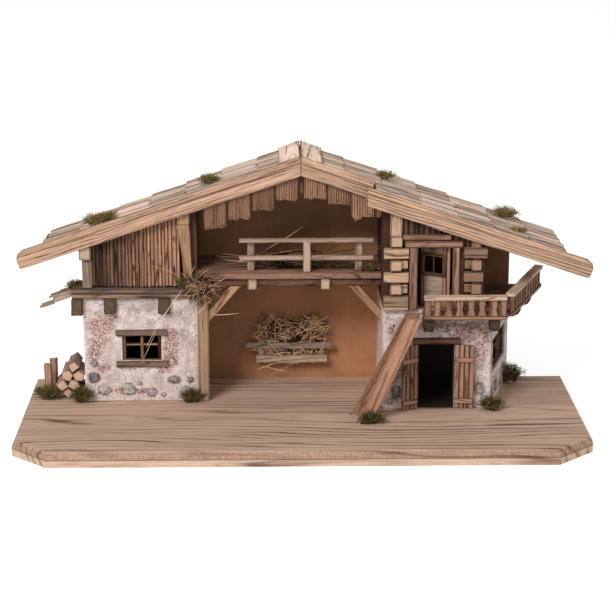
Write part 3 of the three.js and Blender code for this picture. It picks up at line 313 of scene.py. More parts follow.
def strands(pile, centres, directions, lengths, radius, curl=0.25, tint=(0, 1), floor=None):
    """Thin dry stalks, each a little bent."""
    rng = np.random.default_rng(dice.randrange(1 << 20))
    n = len(centres)
    u = directions / np.linalg.norm(directions, axis=1)[:, None]
    v = np.cross(u, rng.normal(size=(n, 3)))
    v /= np.linalg.norm(v, axis=1)[:, None]
    w = np.cross(u, v)
    t = np.linspace(-0.5, 0.5, 6)
    bend = rng.normal(0, curl, (n, 2))
    path = centres[:, None] + u[:, None] * (t[None, :, None] * lengths[:, None, None])
    path = path + (v * bend[:, :1])[:, None] * (t[None, :, None] ** 2 * lengths[:, None, None])
    path = path + (w * bend[:, 1:])[:, None] * (t[None, :, None] ** 3 * 2 * lengths[:, None, None])
    path[..., 1] = np.minimum(path[..., 1], PANEL_FRONT - radius)
    if floor is not None:
        path[..., 2] = np.maximum(path[..., 2], floor + radius)
    angles = np.array([0, 2.1, 4.2])
    size = radius * rng.uniform(0.6, 1.25, n)[:, None, None, None] * np.array([0.5, 1, 1, 1, 0.8, 0.3])[:, None, None]
    spread = v[:, None, None] * np.cos(angles)[:, None] + w[:, None, None] * np.sin(angles)[:, None] * 0.7
    points = path[:, :, None] + spread * size
    shade = np.zeros(points.shape)
    shade[..., 0] = rng.uniform(*tint, n)[:, None, None]
    shade[..., 2] = 0.5
    grain = np.zeros(points.shape)
    grain[..., 0] = (t * 30)[None, :, None]
    grain[..., 1] = rng.uniform(0, 500, n)[:, None, None]
    base = np.arange(n)[:, None, None] * 18 + np.arange(5)[None, :, None] * 3
    j = np.arange(3)[None, None]
    k = (j + 1) % 3
    quads = np.stack(np.broadcast_arrays(base + j, base + k, base + 3 + k, base + 3 + j), -1).reshape(-1, 4)
    pile.add(points, [quads], grain, shade)


def pebble(pile, middle, radii, seed, place=None, lumps=0.25, tint=None):
    """A rounded stone or clump."""
    rows, turns = 11, 18
    up = np.linspace(-np.pi / 2, np.pi / 2, rows)[:, None]
    turn = np.arange(turns)[None] * 2 * np.pi / turns
    ball = np.stack([np.cos(up) * np.cos(turn), np.cos(up) * np.sin(turn), np.sin(up) + 0 * turn], -1)
    ball = ball * (1 + lumps * noise(ball * 1.6 + seed, seed) + 0.08 * noise(ball * 5 + seed, seed))[..., None]
    points = placed(np.array(middle) + ball * np.array(radii), place)
    shade = np.zeros(points.shape)
    shade[..., 0] = (seed * 0.37) % 1 if tint is None else tint
    # the second channel is 1 where the stone sinks into the wall; the stone finish paints it dark there as shade
    shade[..., 1] = np.clip(1.6 - np.abs(ball[..., 1]) * 2, 0, 1)
    i = np.arange(rows - 1)[:, None] * turns
    j = np.arange(turns)[None]
    k = (j + 1) % turns
    quads = np.stack([i + j, i + k, i + turns + k, i + turns + j], -1).reshape(-1, 4)
    pile.add(points, [quads], points + seed * 31.0, shade)


def clump(pile, middle, radii, blades, tint=(0, 1), length=(3.5, 9.0), floor=None):
    """A clump of moss: short blades that stand out from its middle, over a dark core."""
    rng = np.random.default_rng(dice.randrange(1 << 20))
    middle, radii = np.array(middle, float), np.array(radii, float)
    out = rng.normal(size=(blades, 3))
    out /= np.linalg.norm(out, axis=1)[:, None]
    out[:, 2] = np.abs(out[:, 2]) - 0.25
    heart = middle + out * radii * (0.25 + 0.65 * rng.random((blades, 1)) ** 0.6)
    heart[:, :2] += radii[:2] * 0.25 * rng.normal(size=(blades, 2))
    aim = out + rng.normal(0, 0.6, (blades, 3)) + np.array([0, 0, 0.45])
    strands(pile, heart, aim, rng.uniform(*length, blades), 0.34, 0.7, tint, floor)
    thin = blades // 3
    aim = out[:thin] * np.array([1, 1, 0.5]) + rng.normal(0, 0.4, (thin, 3)) + np.array([0, 0, 0.5])
    strands(pile, middle + out[:thin] * radii * 0.9, aim, rng.uniform(6, 17, thin), 0.24, 0.9, (0.4, 1), floor)
    for i in range(4):
        at = middle + np.array([*(rng.normal(0, 0.3, 2) * radii[:2]), -0.25 * radii[2]])
        pebble(pile, at, radii * 0.3, i + 3, tint=0.2, lumps=0.7)


def coat(pile, x0, x1, z0, z1, holes, place, thick=1.1, step=1.7, stains=()):
    """Rough plaster spread on a wall, thinner towards its edges and round each opening."""
    nx, nz = round((x1 - x0) / step) + 1, round((z1 - z0) / step) + 1
    xs, zs = np.meshgrid(np.linspace(x0, x1, nx), np.linspace(z0, z1, nz), indexing="ij")
    seed = dice.randrange(1 << 20)
    away = np.minimum.reduce([xs - x0, x1 - xs, z1 - zs])
    open_cell = np.zeros((nx - 1, nz - 1), bool)
    mid_x, mid_z = xs[:-1, :-1] + step / 2, zs[:-1, :-1] + step / 2
    for a, b, low, high in holes:
        gap = np.maximum.reduce([a - xs, xs - b, low - zs, zs - high])
        away = np.minimum(away, np.maximum(gap, 0))
        open_cell |= (mid_x > a) & (mid_x < b) & (mid_z > low) & (mid_z < high)
    flat = np.stack([xs, 0 * xs, zs], -1)
    lump = rough(flat / 9.0, seed, 3) + 0.35 * noise(flat / 1.9, seed + 9)
    cover = np.clip(away / 2.2, 0, 1)
    depth = -(thick * (0.35 + 0.55 * lump) * cover) + 0.5 * (1 - cover)
    points = np.stack([xs, depth, zs], -1)
    jitter = 0.5 * cover
    points[..., 0] += jitter * noise(flat / 4.0 + 40, seed + 3)
    shade = np.zeros(points.shape)
    # the third channel is how sunken the plaster lies; the plaster finish paints it darker there as shade in the
    # hollows
    shade[..., 2] = np.clip(0.5 - 0.5 * lump, 0, 1)
    ragged = rough(flat / 3.0, seed + 5, 3)
    # the second channel holds grey stains and fainter ones; those round the stones and under the balcony are painted
    # shadows
    for kind, cx, cz, rx, rz in stains:
        near = 1.15 - np.hypot((xs - cx) / rx, (zs - cz) / rz) + (0.3 if kind == "grey" else 0.55) * ragged
        channel = 0 if kind == "red" else 1
        strength = {"red": 1.0, "grey": 1.0, "soot_and_shade": 0.45}[kind]
        shade[..., channel] = np.maximum(shade[..., channel], np.clip(near * 2.2, 0, 1) * strength)
    points = placed(points.reshape(-1, 3), place)
    at = np.arange(nx * nz).reshape(nx, nz)
    quads = np.stack([at[:-1, :-1], at[1:, :-1], at[1:, 1:], at[:-1, 1:]], -1)[~open_cell]
    pile.add(points, [quads], flat, shade)


# Materials

# The rooms that are painted nearly black as shade, in metres: across, across along the splayed wall, back, up
ROOMS = (
    ((-0.2655, -0.1405), (-1, 1), (0.0615, 0.1505), (0.0185, 0.156)),
    ((0.1115, 1), (-1, 0.2222), (0.0262, 0.1505), (0.0185, 0.142)),
    ((0.1462, 0.1922), (-1, 1), (0.0155, 0.03), (0.0185, 0.1042)),
)
# the colour of the painted shade inside the rooms
ROOM_SHADE = (0.03, 0.017, 0.013)
BOARD_TOP = 0.0185


class Shader:
    """Adds shader nodes to a material and links them."""

    def __init__(self, name):
        self.material = bpy.data.materials.new(name)
        self.material.use_nodes = True
        self.tree = self.material.node_tree
        self.surface = self.tree.nodes["Principled BSDF"]
        self.surface.inputs["Specular IOR Level"].default_value = 0.25

    def put(self, node, values):
        for key, value in values.items():
            if isinstance(value, bpy.types.NodeSocket):
                self.tree.links.new(value, node.inputs[key])
            else:
                node.inputs[key].default_value = value

    def add(self, kind, values=None, **settings):
        node = self.tree.nodes.new(kind)
        for key, value in settings.items():
            setattr(node, key, value)
        self.put(node, values or {})
        return node

    def stretched(self, vector, factors):
        return self.add("ShaderNodeVectorMath", {0: vector, 1: factors}, operation="MULTIPLY").outputs[0]

    def noise(self, vector, factors, detail=4.0, roughness=0.6, distortion=0.0):
        return self.add("ShaderNodeTexNoise", {
            "Vector": self.stretched(vector, factors), "Scale": 1.0, "Detail": detail,
            "Roughness": roughness, "Distortion": distortion,
        }).outputs["Fac"]

    def ramp(self, factor, *stops):
        node = self.add("ShaderNodeValToRGB", {"Fac": factor})
        bands = node.color_ramp
        while len(bands.elements) < len(stops):
            bands.elements.new(0.5)
        for element, (place, value) in zip(bands.elements, sorted(stops)):
            element.position = place
            element.color = (*value, 1) if isinstance(value, tuple) else (value, value, value, 1)
        return node.outputs["Color"]

    def math(self, operation, first, second=0.5, clamp=False):
        return self.add("ShaderNodeMath", {0: first, 1: second}, operation=operation, use_clamp=clamp).outputs[0]

    def mix(self, factor, first, second, blend="MIX"):
        node = self.add("ShaderNodeMix", data_type="RGBA", blend_type=blend)
        for key, value in ((0, factor), (6, first), (7, second)):
            if isinstance(value, bpy.types.NodeSocket):
                self.tree.links.new(value, node.inputs[key])
            else:
                node.inputs[key].default_value = (*value, 1) if isinstance(value, tuple) else value
        return node.outputs[2]

    def span(self, value, low, high):
        """A value from 0 to 1, stretched to a range."""
        return self.add("ShaderNodeMapRange", {"Value": value, "To Min": low, "To Max": high},
                        clamp=False).outputs["Result"]

    def own(self, key):
        """A board's own grain or shade, kept in its mesh."""
        return self.add("ShaderNodeAttribute", attribute_name=key).outputs["Vector"]

    def split(self, vector):
        return self.add("ShaderNodeSeparateXYZ", {0: vector}).outputs

    def within(self, *tests):
        """1 where each value lies between its two limits, else 0."""
        inside = 1.0
        for value, low, high in tests:
            for operation, limit in (("GREATER_THAN", low), ("LESS_THAN", high)):
                inside = self.math("MULTIPLY", self.math(operation, value, limit), inside)
        return inside

    def paint_room_shade(self, color, spots):
        """Painted shade: the closed houses and the stable door's opening are painted nearly black inside."""
        x, y, z = self.split(spots)
        slant = self.math("SUBTRACT", x, self.math("MULTIPLY", y, WALL_RUN[0] / WALL_RUN[1]))
        inside = 0.0
        for across, leaning, deep, high in ROOMS:
            room = self.within((x, *across), (slant, *leaning), (y, *deep), (z, *high))
            inside = self.math("MAXIMUM", inside, room)
        return self.mix(inside, color, ROOM_SHADE)

    def close(self, color, height, bump=0.3, reach=0.0006, roughness=0.78):
        self.surface.inputs["Roughness"].default_value = roughness
        bumps = self.add("ShaderNodeBump", {"Strength": bump, "Distance": reach, "Height": height})
        self.put(self.surface, {"Base Color": color, "Normal": bumps.outputs["Normal"]})
        return self.material


def wood(name, body, light=1.5, dark=0.2, lines=0.85, greying=0.3, grey=None, edges=0.35, tints=(0.7, 1.2),
         ends=0.25, along=None, pitch=6.0, room_shade=False, gloss=0.8, bump=0.5, cracks=0.55, mottling_and_painted_shade=False,
         layers=0):
    """Brushed wood: growth rings with dark lines, fine fibres, splits, and grey where the weather got at it.

    light and dark are how the pale and the dark wood compare with the body's colour, lines how strongly the rings
    are drawn, edges how dark the corners are painted as shade between boards, and along is for a board whose grain
    runs along an axis of the stable.
    """
    s = Shader(name)
    pale = tuple(min(0.95, c * light * k) for c, k in zip(body, (1, 1.06, 1.12)))
    deep = tuple(c * dark * k for c, k in zip(body, (1, 0.68, 0.5)))
    if along:
        spots = s.add("ShaderNodeTexCoord").outputs["Object"]
        x, y, z = s.split(spots)
        order = {"x": (x, y, z), "y": (y, x, z), "z": (z, x, y)}[along]
        grain = s.add("ShaderNodeCombineXYZ", dict(enumerate(order))).outputs[0]
        warp = s.noise(grain, (1.3, 9, 9), 3.0, 0.5)
        years = s.math("ADD", s.math("MULTIPLY", order[1], 1000 / pitch), s.math("MULTIPLY", warp, 150 / pitch))
    else:
        grain = s.own("grain")
        tint, edge, years = s.split(s.own("shade"))
    slow = 0.3 if along else 1.0  # a whole board's grain is longer than a slat's
    count = s.math("ADD", years, s.math("MULTIPLY", s.noise(grain, (26 * slow, 260, 260), 3.0), 0.6))
    late = s.ramp(s.math("FRACT", count), (0.0, 0.0), (0.30, 0.12), (0.45, 1.0), (0.55, 1.0), (0.66, 0.12), (1.0, 0.0))
    thin = s.ramp(s.math("FRACT", s.math("MULTIPLY", count, 3.0)), (0.0, 0.0), (0.3, 0.0), (0.5, 0.42), (0.7, 0.0))
    fade = s.ramp(s.noise(grain, (10 * slow, 130 * slow, 130 * slow), 2.0), (0.34, 0.1), (0.60, 1.0))
    drawn = s.math("MULTIPLY", s.math("MAXIMUM", late, thin), fade)
    fibres = s.ramp(s.noise(grain, (32 * slow, 1300, 1300), 4.0, 0.7), (0.34, 0.0), (0.66, 1.0))
    color = s.mix(fibres, body, pale)
    if grey:
        patches = s.noise(grain, (13, 60, 60), 4.0, 0.6)
        patches = s.ramp(patches, (0.62 - greying * 0.35, 0.0), (0.80 - greying * 0.35, greying * 1.3))
        color = s.mix(patches, color, grey)
    color = s.mix(s.math("MULTIPLY", drawn, lines), color, deep)
    splits = s.noise(grain, (14 * slow, 480, 480), 3.0, 0.5, 0.3)
    splits = s.ramp(splits, (0.482, 1.0), (0.5, 1.0 - cracks), (0.518, 1.0))
    color = s.mix(1.0, color, splits, "MULTIPLY")
    if along:
        soiled = s.ramp(s.noise(grain, (5, 12, 12), 3.0), (0.3, 0.88), (0.7, 1.04))
        color = s.mix(1.0, color, soiled, "MULTIPLY")
    if mottling_and_painted_shade:
        clouds = s.ramp(s.noise(spots, (9, 9, 9), 4.0, 0.6), (0.38, 0.74), (0.62, 1.1))
        color = s.mix(1.0, color, clouds, "MULTIPLY")
        # painted shade: darker towards the left, where the left house shades the panel, and darker high up under the
        # roof
        side = s.ramp(s.math("ADD", s.math("MULTIPLY", x, 2.6), 0.5), (0.12, 0.6), (0.8, 1.02))
        gable = s.ramp(s.math("MULTIPLY", z, 3.0), (0.5, 1.0), (0.62, 0.84))
        color = s.mix(1.0, s.mix(1.0, color, side, "MULTIPLY"), gable, "MULTIPLY")
    if layers:
        cut = s.math("ADD", z, s.math("MULTIPLY", s.noise(grain, (30, 0, 0), 3.0), 0.0016))
        color = s.mix(s.within((cut, layers - 0.0004, layers + 0.0004)), color, deep)
        # painted shade and light: the upper board is painted darker and the lower board brighter, as the lamps fall on
        # them
        color = s.mix(s.within((cut, layers, BOARD_TOP)), color, s.mix(1.0, color, (0.9, 0.83, 0.78), "MULTIPLY"))
        color = s.mix(s.within((cut, -1, layers)), color, s.mix(1.0, color, (1.3, 1.32, 1.34), "MULTIPLY"))
        hatch = s.ramp(s.noise(spots, (700, 700, 60), 2.0), (0.45, 0.0), (0.6, 0.4))
        color = s.mix(s.math("MULTIPLY", s.within((z, layers, BOARD_TOP)), hatch), color, deep)
    if not along:
        color = s.mix(1.0, color, s.span(tint, *tints), "MULTIPLY")
        # painted shade: each board's corners are painted dark, standing in for the shade between boards
        rim = s.math("MULTIPLY", s.math("MAXIMUM", edge, 0.0), abs(edges))
        color = s.mix(rim, color, deep if edges > 0 else pale)
        sawn = s.math("MULTIPLY", s.math("MAXIMUM", s.math("MULTIPLY", edge, -3.0), 0.0), ends, True)
        color = s.mix(sawn, color, pale)
    # painted shade: nearly black inside the closed houses
    if room_shade:
        color = s.paint_room_shade(color, spots)
    height = s.mix(0.5, s.math("SUBTRACT", 1.0, drawn), fibres)
    return s.close(color, height, bump, 0.0006, gloss)


def plaster(name, white, red, grey, coated=True, upper=None):
    """Rough lime plaster with pink washes, red and dark specks, and soft greys."""
    s = Shader(name)
    spots = s.add("ShaderNodeTexCoord").outputs["Object"]
    lumps = s.noise(spots, (260, 260, 260), 6.0, 0.7)
    grit = s.noise(spots, (1100, 1100, 1100), 3.0, 0.7)
    pink = tuple(0.62 * w + 0.38 * r for w, r in zip(white, red))
    wash = s.ramp(s.noise(spots, (38, 38, 38), 4.0, 0.6), (0.42, 0.0), (0.62, 1.0))
    color = s.mix(s.math("MULTIPLY", wash, 0.55), white, pink)
    dust = s.ramp(s.noise(spots, (120, 120, 120), 5.0, 0.75), (0.47, 0.0), (0.70, 0.75))
    color = s.mix(s.math("MULTIPLY", dust, 0.6), color, tuple(w * 0.66 for w in white))
    specks = s.ramp(s.noise(spots, (520, 520, 520), 3.0, 0.7), (0.59, 0.0), (0.625, 0.85))
    color = s.mix(specks, color, tuple(0.5 * g for g in grey))
    dots = s.ramp(s.noise(spots, (430, 430, 430), 2.0, 0.6, 0.4), (0.50, 0.0), (0.56, 1.0))
    rare = s.ramp(s.noise(spots, (300, 300, 300), 2.0, 0.5), (0.66, 0.0), (0.69, 0.8))
    color = s.mix(rare, color, red)
    height = s.mix(0.45, lumps, grit)
    if coated:
        stain = s.split(s.own("shade"))
        color = s.mix(s.math("MULTIPLY", stain[0], s.span(dots, 0.22, 0.95)), color, red)
        soot_and_shade = s.ramp(s.noise(spots, (470, 470, 470), 2.0, 0.6, 0.4), (0.57, 0.0), (0.61, 0.9))
        color = s.mix(s.math("MULTIPLY", stain[0], soot_and_shade), color, tuple(0.3 * g for g in grey))
        # grey stains, among them the painted shadows round the stones and under the balcony
        color = s.mix(s.math("MULTIPLY", stain[1], s.span(grit, -0.2, 1.5), True), color, grey)
        # painted shade: the coat's hollows are painted darker and its bumps a little lighter
        painted_hollow_shade = s.ramp(stain[2], (0.30, 1.04), (0.95, 0.62))
        color = s.mix(1.0, color, painted_hollow_shade, "MULTIPLY")
    if upper:
        high = s.math("GREATER_THAN", s.split(spots)[2], BALCONY_TOP / 1000)
        color = s.mix(high, color, upper)
    # painted shade: nearly black inside the closed houses
    color = s.paint_room_shade(color, spots)
    return s.close(color, height, 0.8, 0.0016, 0.92)


def soft(name, *stops, bump=0.2, roughness=0.9, marks=(60, 900, 900), depth=0.7, rim=None):
    """Straw, moss or stone, whose colour changes from piece to piece."""
    s = Shader(name)
    shade = s.split(s.own("shade"))
    color = s.ramp(shade[0], *stops)
    fibres = s.noise(s.own("grain"), marks, 4.0, 0.65, 0.4)
    color = s.mix(1.0, color, s.span(s.ramp(fibres, (0.35, 0.0), (0.65, 1.0)), depth, 1.15), "MULTIPLY")
    # rim paints the stone dark where it meets the wall, painted shade in that crease, and colours its veins
    if rim:
        veins = s.ramp(s.noise(s.own("grain"), (150, 150, 150), 3.0, 0.6, 0.8), (0.47, 0.0), (0.5, 0.6), (0.53, 0.0))
        color = s.mix(s.math("MAXIMUM", s.math("MULTIPLY", shade[1], 0.85), veins), color, rim)
    return s.close(color, fibres, bump, 0.0004, roughness)


def make_materials(c):
    """The finishes, from the colours in the panel."""
    grey = tuple(c.weathered)
    straw = tuple(c.straw)
    moss = tuple(c.moss)
    lime = (tuple(c.plaster), tuple(c.brick), paint(104, 92, 88))
    # woods: name, colour, pale and dark wood, lines, greying, grey, edges painted dark as shade, lightest and darkest
    # board
    materials.update({
        "base": wood("base board", tuple(c.board_wood), 1.26, 0.22, 0.85, along="x", pitch=13.0, room_shade=True,
                     gloss=0.72, bump=0.25, cracks=0.35, layers=0.0098),
        # the back panel is mottled and carries painted shade, darker to the left and high up
        "panel": wood("stained panel", tuple(c.panel_wood), 1.12, 0.6, 0.08, along="z", pitch=16.0, room_shade=True,
                      gloss=0.6, bump=0.1, cracks=0.05, mottling_and_painted_shade=True),
        "slope": wood("roof boards", paint(128, 92, 72), 1.2, 0.4, 0.6, along="x"),
        "gable": wood("stained partition", paint(96, 64, 50), 1.2, 0.35, 0.5, along="z", pitch=12.0, room_shade=True),
        "beam": wood("weathered beam", tuple(c.beams), 1.45, 0.24, 0.75, 0.4, grey),
        "ledge": wood("brown ledge", paint(132, 104, 88), 1.5, 0.16, 0.9, 0.35, grey, 0.5),
        "joist": wood("joist end", paint(96, 74, 56), 1.3, 0.2, 0.6, 0.4, paint(112, 92, 74), 0.5, ends=0.0),
        "post": wood("hall post", paint(170, 138, 108), 1.4, 0.2, 0.95, 0.2, grey, 0.3),
        "loft": wood("loft boards", paint(148, 110, 90), 1.5, 0.2, 0.85, 0.2, grey, 0.45),
        "dark": wood("dark beam", tuple(c.dark_wood), 1.7, 0.15, 0.9, 0.3, paint(150, 122, 104), 0.5),
        "rail": wood("loft rail", paint(180, 150, 127), 1.4, 0.3, 0.7, 0.3, grey, 0.45),
        "brace": wood("brace", paint(176, 134, 102), 1.45, 0.24, 0.8, 0.2, grey, 0.4),
        "siding": wood("brown siding", tuple(c.siding), 1.6, 0.1, 1.0, 0.1, grey, 0.5, (0.2, 2.7)),
        "upper": wood("upper boards", paint(98, 68, 54), 1.5, 0.15, 0.9, 0.1, grey, 0.6),
        "hanging": wood("gable boards", paint(142, 104, 80), 1.9, 0.07, 1.0, 0.15, grey, 0.55),
        "barge": wood("scorched barge board", tuple(c.barge), 1.6, 0.1, 1.0, 0.15, grey, 0.35, (0.85, 1.15)),
        "shingle": wood("weathered shingle", tuple(c.shingles), 1.35, 0.16, 0.9, 0.3, paint(208, 188, 172), 0.85,
                        ends=0.0),
        "log": wood("brushed log", tuple(c.logs), 1.45, 0.18, 0.8, 0.2, grey, 0.75, (0.7, 1.25)),
        "brown_log": wood("brown log", paint(150, 114, 90), 1.5, 0.16, 0.85, 0.15, grey, 0.75),
        "firewood": wood("split log", paint(124, 98, 84), 3.6, 0.16, 0.5, 0.1, grey, 1.0, ends=0.95),
        "jamb": wood("door frame", paint(162, 122, 98), 1.45, 0.18, 0.85, 0.15, grey, 0.7),
        "handrail": wood("handrail", paint(218, 182, 156), 1.3, 0.3, 0.8, 0.2, grey, 0.3, (0.9, 1.1)),
        "baluster": wood("baluster", paint(156, 118, 92), 1.45, 0.16, 0.8, 0.2, grey, 0.8),
        "ladder": wood("softwood ladder", tuple(c.ladder), 1.3, 0.36, 0.75, 0.15, grey, 0.4, (0.85, 1.15)),
        "leaf": wood("door boards", paint(160, 120, 98), 1.5, 0.14, 0.95, 0.2, grey, 0.65, (0.5, 1.2)),
        "plaster": plaster("plaster", *lime),
        "wall": plaster("plastered wall", *lime, False),
        "divider": plaster("half plastered wall", *lime, False, paint(84, 52, 40)),
        # the stone's rim colour is painted shade where it meets the plaster, and the colour of its veins
        "stone": soft("field stone", (0.0, paint(156, 144, 142)), (1.0, paint(222, 208, 204)), bump=0.6,
                      marks=(260, 260, 260), depth=0.35, rim=paint(70, 60, 58)),
        # the darkest straw colour is also the painted shade deep inside the heaps
        "straw": soft("dry straw", (0.0, paint(40, 22, 12)), (0.3, tuple(0.36 * v for v in straw)),
                      (0.7, straw), (1.0, paint(250, 212, 170))),
        "moss": soft("moss", (0.0, paint(46, 34, 18)), (0.4, tuple(0.6 * v for v in moss)),
                     (0.8, tuple(1.7 * v for v in moss)), (1.0, paint(196, 176, 124))),
    })


# Sizes and colours that a user would change

def colour(name, about, *chart):
    return FloatVectorProperty(name=name, description=about, subtype="COLOR", min=0, max=1, default=paint(*chart))


class StableColours(bpy.types.PropertyGroup):
    board_wood: colour("Base board", "Light wood of the board that carries the stable", 196, 163, 139)
    panel_wood: colour("Back panel", "Orange brown stain of the back panel", 190, 134, 94)
    beams: colour("Beams", "Grey brown of posts and beams", 172, 147, 124)
    weathered: colour("Weathering", "Grey of wood that stood in the weather", 176, 155, 135)
    dark_wood: colour("Dark beams", "Dark stain of lintels and beams", 106, 72, 54)
    siding: colour("Siding", "Red brown of the upright boards", 126, 92, 70)
    barge: colour("Barge boards", "Tan of the brushed barge boards", 190, 152, 125)
    shingles: colour("Shingles", "Pinkish grey of the shingles", 222, 190, 168)
    logs: colour("Logs", "Pale wood of the log corners", 180, 146, 118)
    ladder: colour("Ladder", "Orange brown of the ladder", 184, 136, 108)
    plaster: colour("Plaster", "Pinkish white of the walls", 244, 227, 221)
    brick: colour("Brick", "Red specks on the plaster", 168, 96, 82)
    straw: colour("Straw", "Dry stalks of hay and straw", 233, 182, 138)
    moss: colour("Moss", "Green of the moss", 114, 100, 54)


class StableSizes(bpy.types.PropertyGroup):
    relief: FloatProperty(name="Grain relief", description="How far the grain stands out, in millimetres",
                          default=0.35, min=0, max=1)
    plaster: FloatProperty(name="Plaster", description="Thickness of the plaster coat, in millimetres",
                           default=1.3, min=0.3, max=3)
    rack_straws: IntProperty(name="Straws in the rack", description="Number of stalks in the hay rack",
                             default=900, min=50, max=4000)
    loft_straws: IntProperty(name="Straws on the loft", description="Number of stalks on the loft",
                             default=500, min=50, max=4000)
    moss: FloatProperty(name="Moss", description="How dense the clumps of moss are", default=1.0, min=0.1, max=3)


class StableOperator:
    """What all the building steps share."""
    bl_options = {"REGISTER", "UNDO"}

    def execute(self, context):
        sizes, colours = context.scene.stable_sizes, context.scene.stable_colours
        if not materials:
            make_materials(colours)
        self.build(sizes)
        return {"FINISHED"}


def finish_nodes(material, *names):
    """Gives solids of the frame that stay visible their material."""
    for name in names:
        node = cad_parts[name]
        node.data.materials.clear()
        node.data.materials.append(materials[material])


class StableBoard(StableOperator, bpy.types.Operator):
    """Board, back panel, partitions and roof boards"""
    bl_idname = "stable.board"
    bl_label = "Board and panels"

    def build(self, sizes):
        finish_nodes("base", "base_board")
        finish_nodes("panel", "back_panel")
        finish_nodes("gable", "left_partition")
        finish_nodes("divider", "right_partition")
        finish_nodes("slope", "roof_board_left", "roof_board_right")


def single(node, along, material, name, **details):
    """A worn beam in place of a plain one."""
    pile = Pile()
    lo, hi = cad(node)
    boxed(pile, lo, hi, along, **{"relief": 0.6, "wear": 1.0, "fine": 1.3, **details})
    pile.finish(name, material, node)


def window(name, x0, x1, z0, z1, front, place, sizes):
    """A window frame with an upright bar and a level bar above the middle."""
    outer, bars = Pile(), Pile()
    side, edge, bar, level_bar = 4.5, 1.5, 4.2, 3.5
    middle = (x0 + x1) / 2
    level = z0 + 0.62 * (z1 - z0)
    style = dict(place=place, relief=sizes.relief, wear=0.5, fine=1.2)
    for a, b in ((x0, x0 + side), (x1 - side, x1)):
        boxed(outer, (a, front, z0), (b, front + 3.8, z1), "z", **style)
    for low, high in ((z0, z0 + edge), (z1 - edge, z1)):
        boxed(outer, (x0 + 0.4, front + 0.5, low), (x1 - 0.4, front + 3.4, high), "x", **style)
    boxed(bars, (middle - bar / 2, front, z0 + edge), (middle + bar / 2, front + 3.8, z1 - edge), "z", **style)
    boxed(bars, (x0 + side, front + 0.9, level - level_bar / 2), (x1 - side, front + 3.2, level + level_bar / 2), "x",
          **style)
    outer.finish(name.replace("_frame", "_casing"), "dark", name)
    bars.finish(name.replace("_frame", "_bars"), "brown_log" if place is None else "dark", name)


# The plastered walls. Stones are (along the wall, height, half width, half height, seed), their grey rim, a painted
# shadow round each stone, is (shift, drop, growth), stains are (kind, along, height, half width, half height), and
# holes are (from, to, low, high).
WALLS = (
    dict(place=Matrix.Translation((0, HOUSE_FRONT, 0)), reach=(-274.5, -131.4), top=LEFT_FLOOR,
         holes=((-227, -177, 72, 105),), depth=2.6, rim=(0.5, 0.7, 0.2),
         stones=((-263, 69, 5, 5, 31), (-264, 49, 8, 7.5, 30), (-251, 33, 9, 7, 43), (-219.5, 35, 9.5, 8.5, 75),
                 (-190.5, 30, 7, 6.5, 7), (-161, 47, 9.5, 5.5, 36), (-146, 32, 8, 6.5, 51), (-140, 46, 3.5, 3.5, 57),
                 (-206, 42, 3, 2.5, 88), (-176, 27, 4, 3, 21)),
         stains=(("red", -252, 118, 16, 15), ("red", -239, 128.5, 11, 4), ("red", -165, 90, 12, 26),
                 ("red", -256, 100, 10, 12), ("red", -173, 64, 12, 9), ("red", -250, 62, 10, 5),
                 ("red", -262, 84, 9, 14), ("red", -142, 46, 5, 5), ("red", -215, 32, 30, 5),
                 ("soot_and_shade", -160, 128, 18, 8), ("soot_and_shade", -205, 145, 40, 8), ("soot_and_shade", -190, 122, 6, 6),
                 ("soot_and_shade", -150, 105, 5, 12))),
    dict(place=LEFT_WALL, reach=(-150, -54.6), top=LEFT_FLOOR, holes=(), depth=2.6, rim=(0, 0, 1.5),
         stones=((-70, 34, 8, 7, 34), (-92, 30, 6, 5, 30), (-118, 37, 9, 8, 37), (-140, 31, 6, 6, 31)),
         stains=(("red", -100, 90, 20, 14), ("red", -130, 50, 14, 10), ("grey", -80, 60, 14, 8))),
    dict(place=Matrix.Translation((0, LOG_FRONT, 0)), reach=(102.4, 238), top=RIGHT_FLOOR,
         holes=((148, 190.6, GROUND - 5, 103.5),), depth=2.4, rim=(0.4, 0.6, 1.5),
         stones=((119, 39, 7, 9.5, 30), (225, 44, 6.5, 8, 47), (231, 30, 5, 5, 53), (110, 28, 4, 4, 21)),
         stains=(("red", 116, 118, 9, 12), ("red", 224, 92, 9, 16), ("red", 216, 52, 10, 14), ("red", 113, 62, 7, 14),
                 ("red", 170, 124, 34, 7), ("red", 205, 116, 22, 12), ("red", 232, 112, 8, 14),
                 # the grey stains at heights 127 and 128 and the wide faint one at 135 are the balcony's painted shadow
                 ("grey", 172, 128, 24, 5), ("grey", 214, 127, 18, 5), ("soot_and_shade", 222, 74, 8, 9),
                 ("soot_and_shade", 108, 84, 5, 10), ("soot_and_shade", 180, 135, 60, 6))),
    dict(place=SPLAY, reach=(0.6, 137.5), top=RIGHT_FLOOR, holes=((18, 118, 57.5, 101.5),), depth=2.6, rim=(0, 0, 1.5),
         stones=((14, 32, 8, 8, 14), (50, 34, 9, 8, 50), (84, 30, 8, 7, 84), (112, 36, 9, 8, 112)),
         stains=(("red", 60, 118, 30, 10), ("red", 30, 40, 18, 12), ("grey", 95, 42, 18, 8), ("red", 6, 90, 6, 30))),
)
STONE_FRONT = 0.3


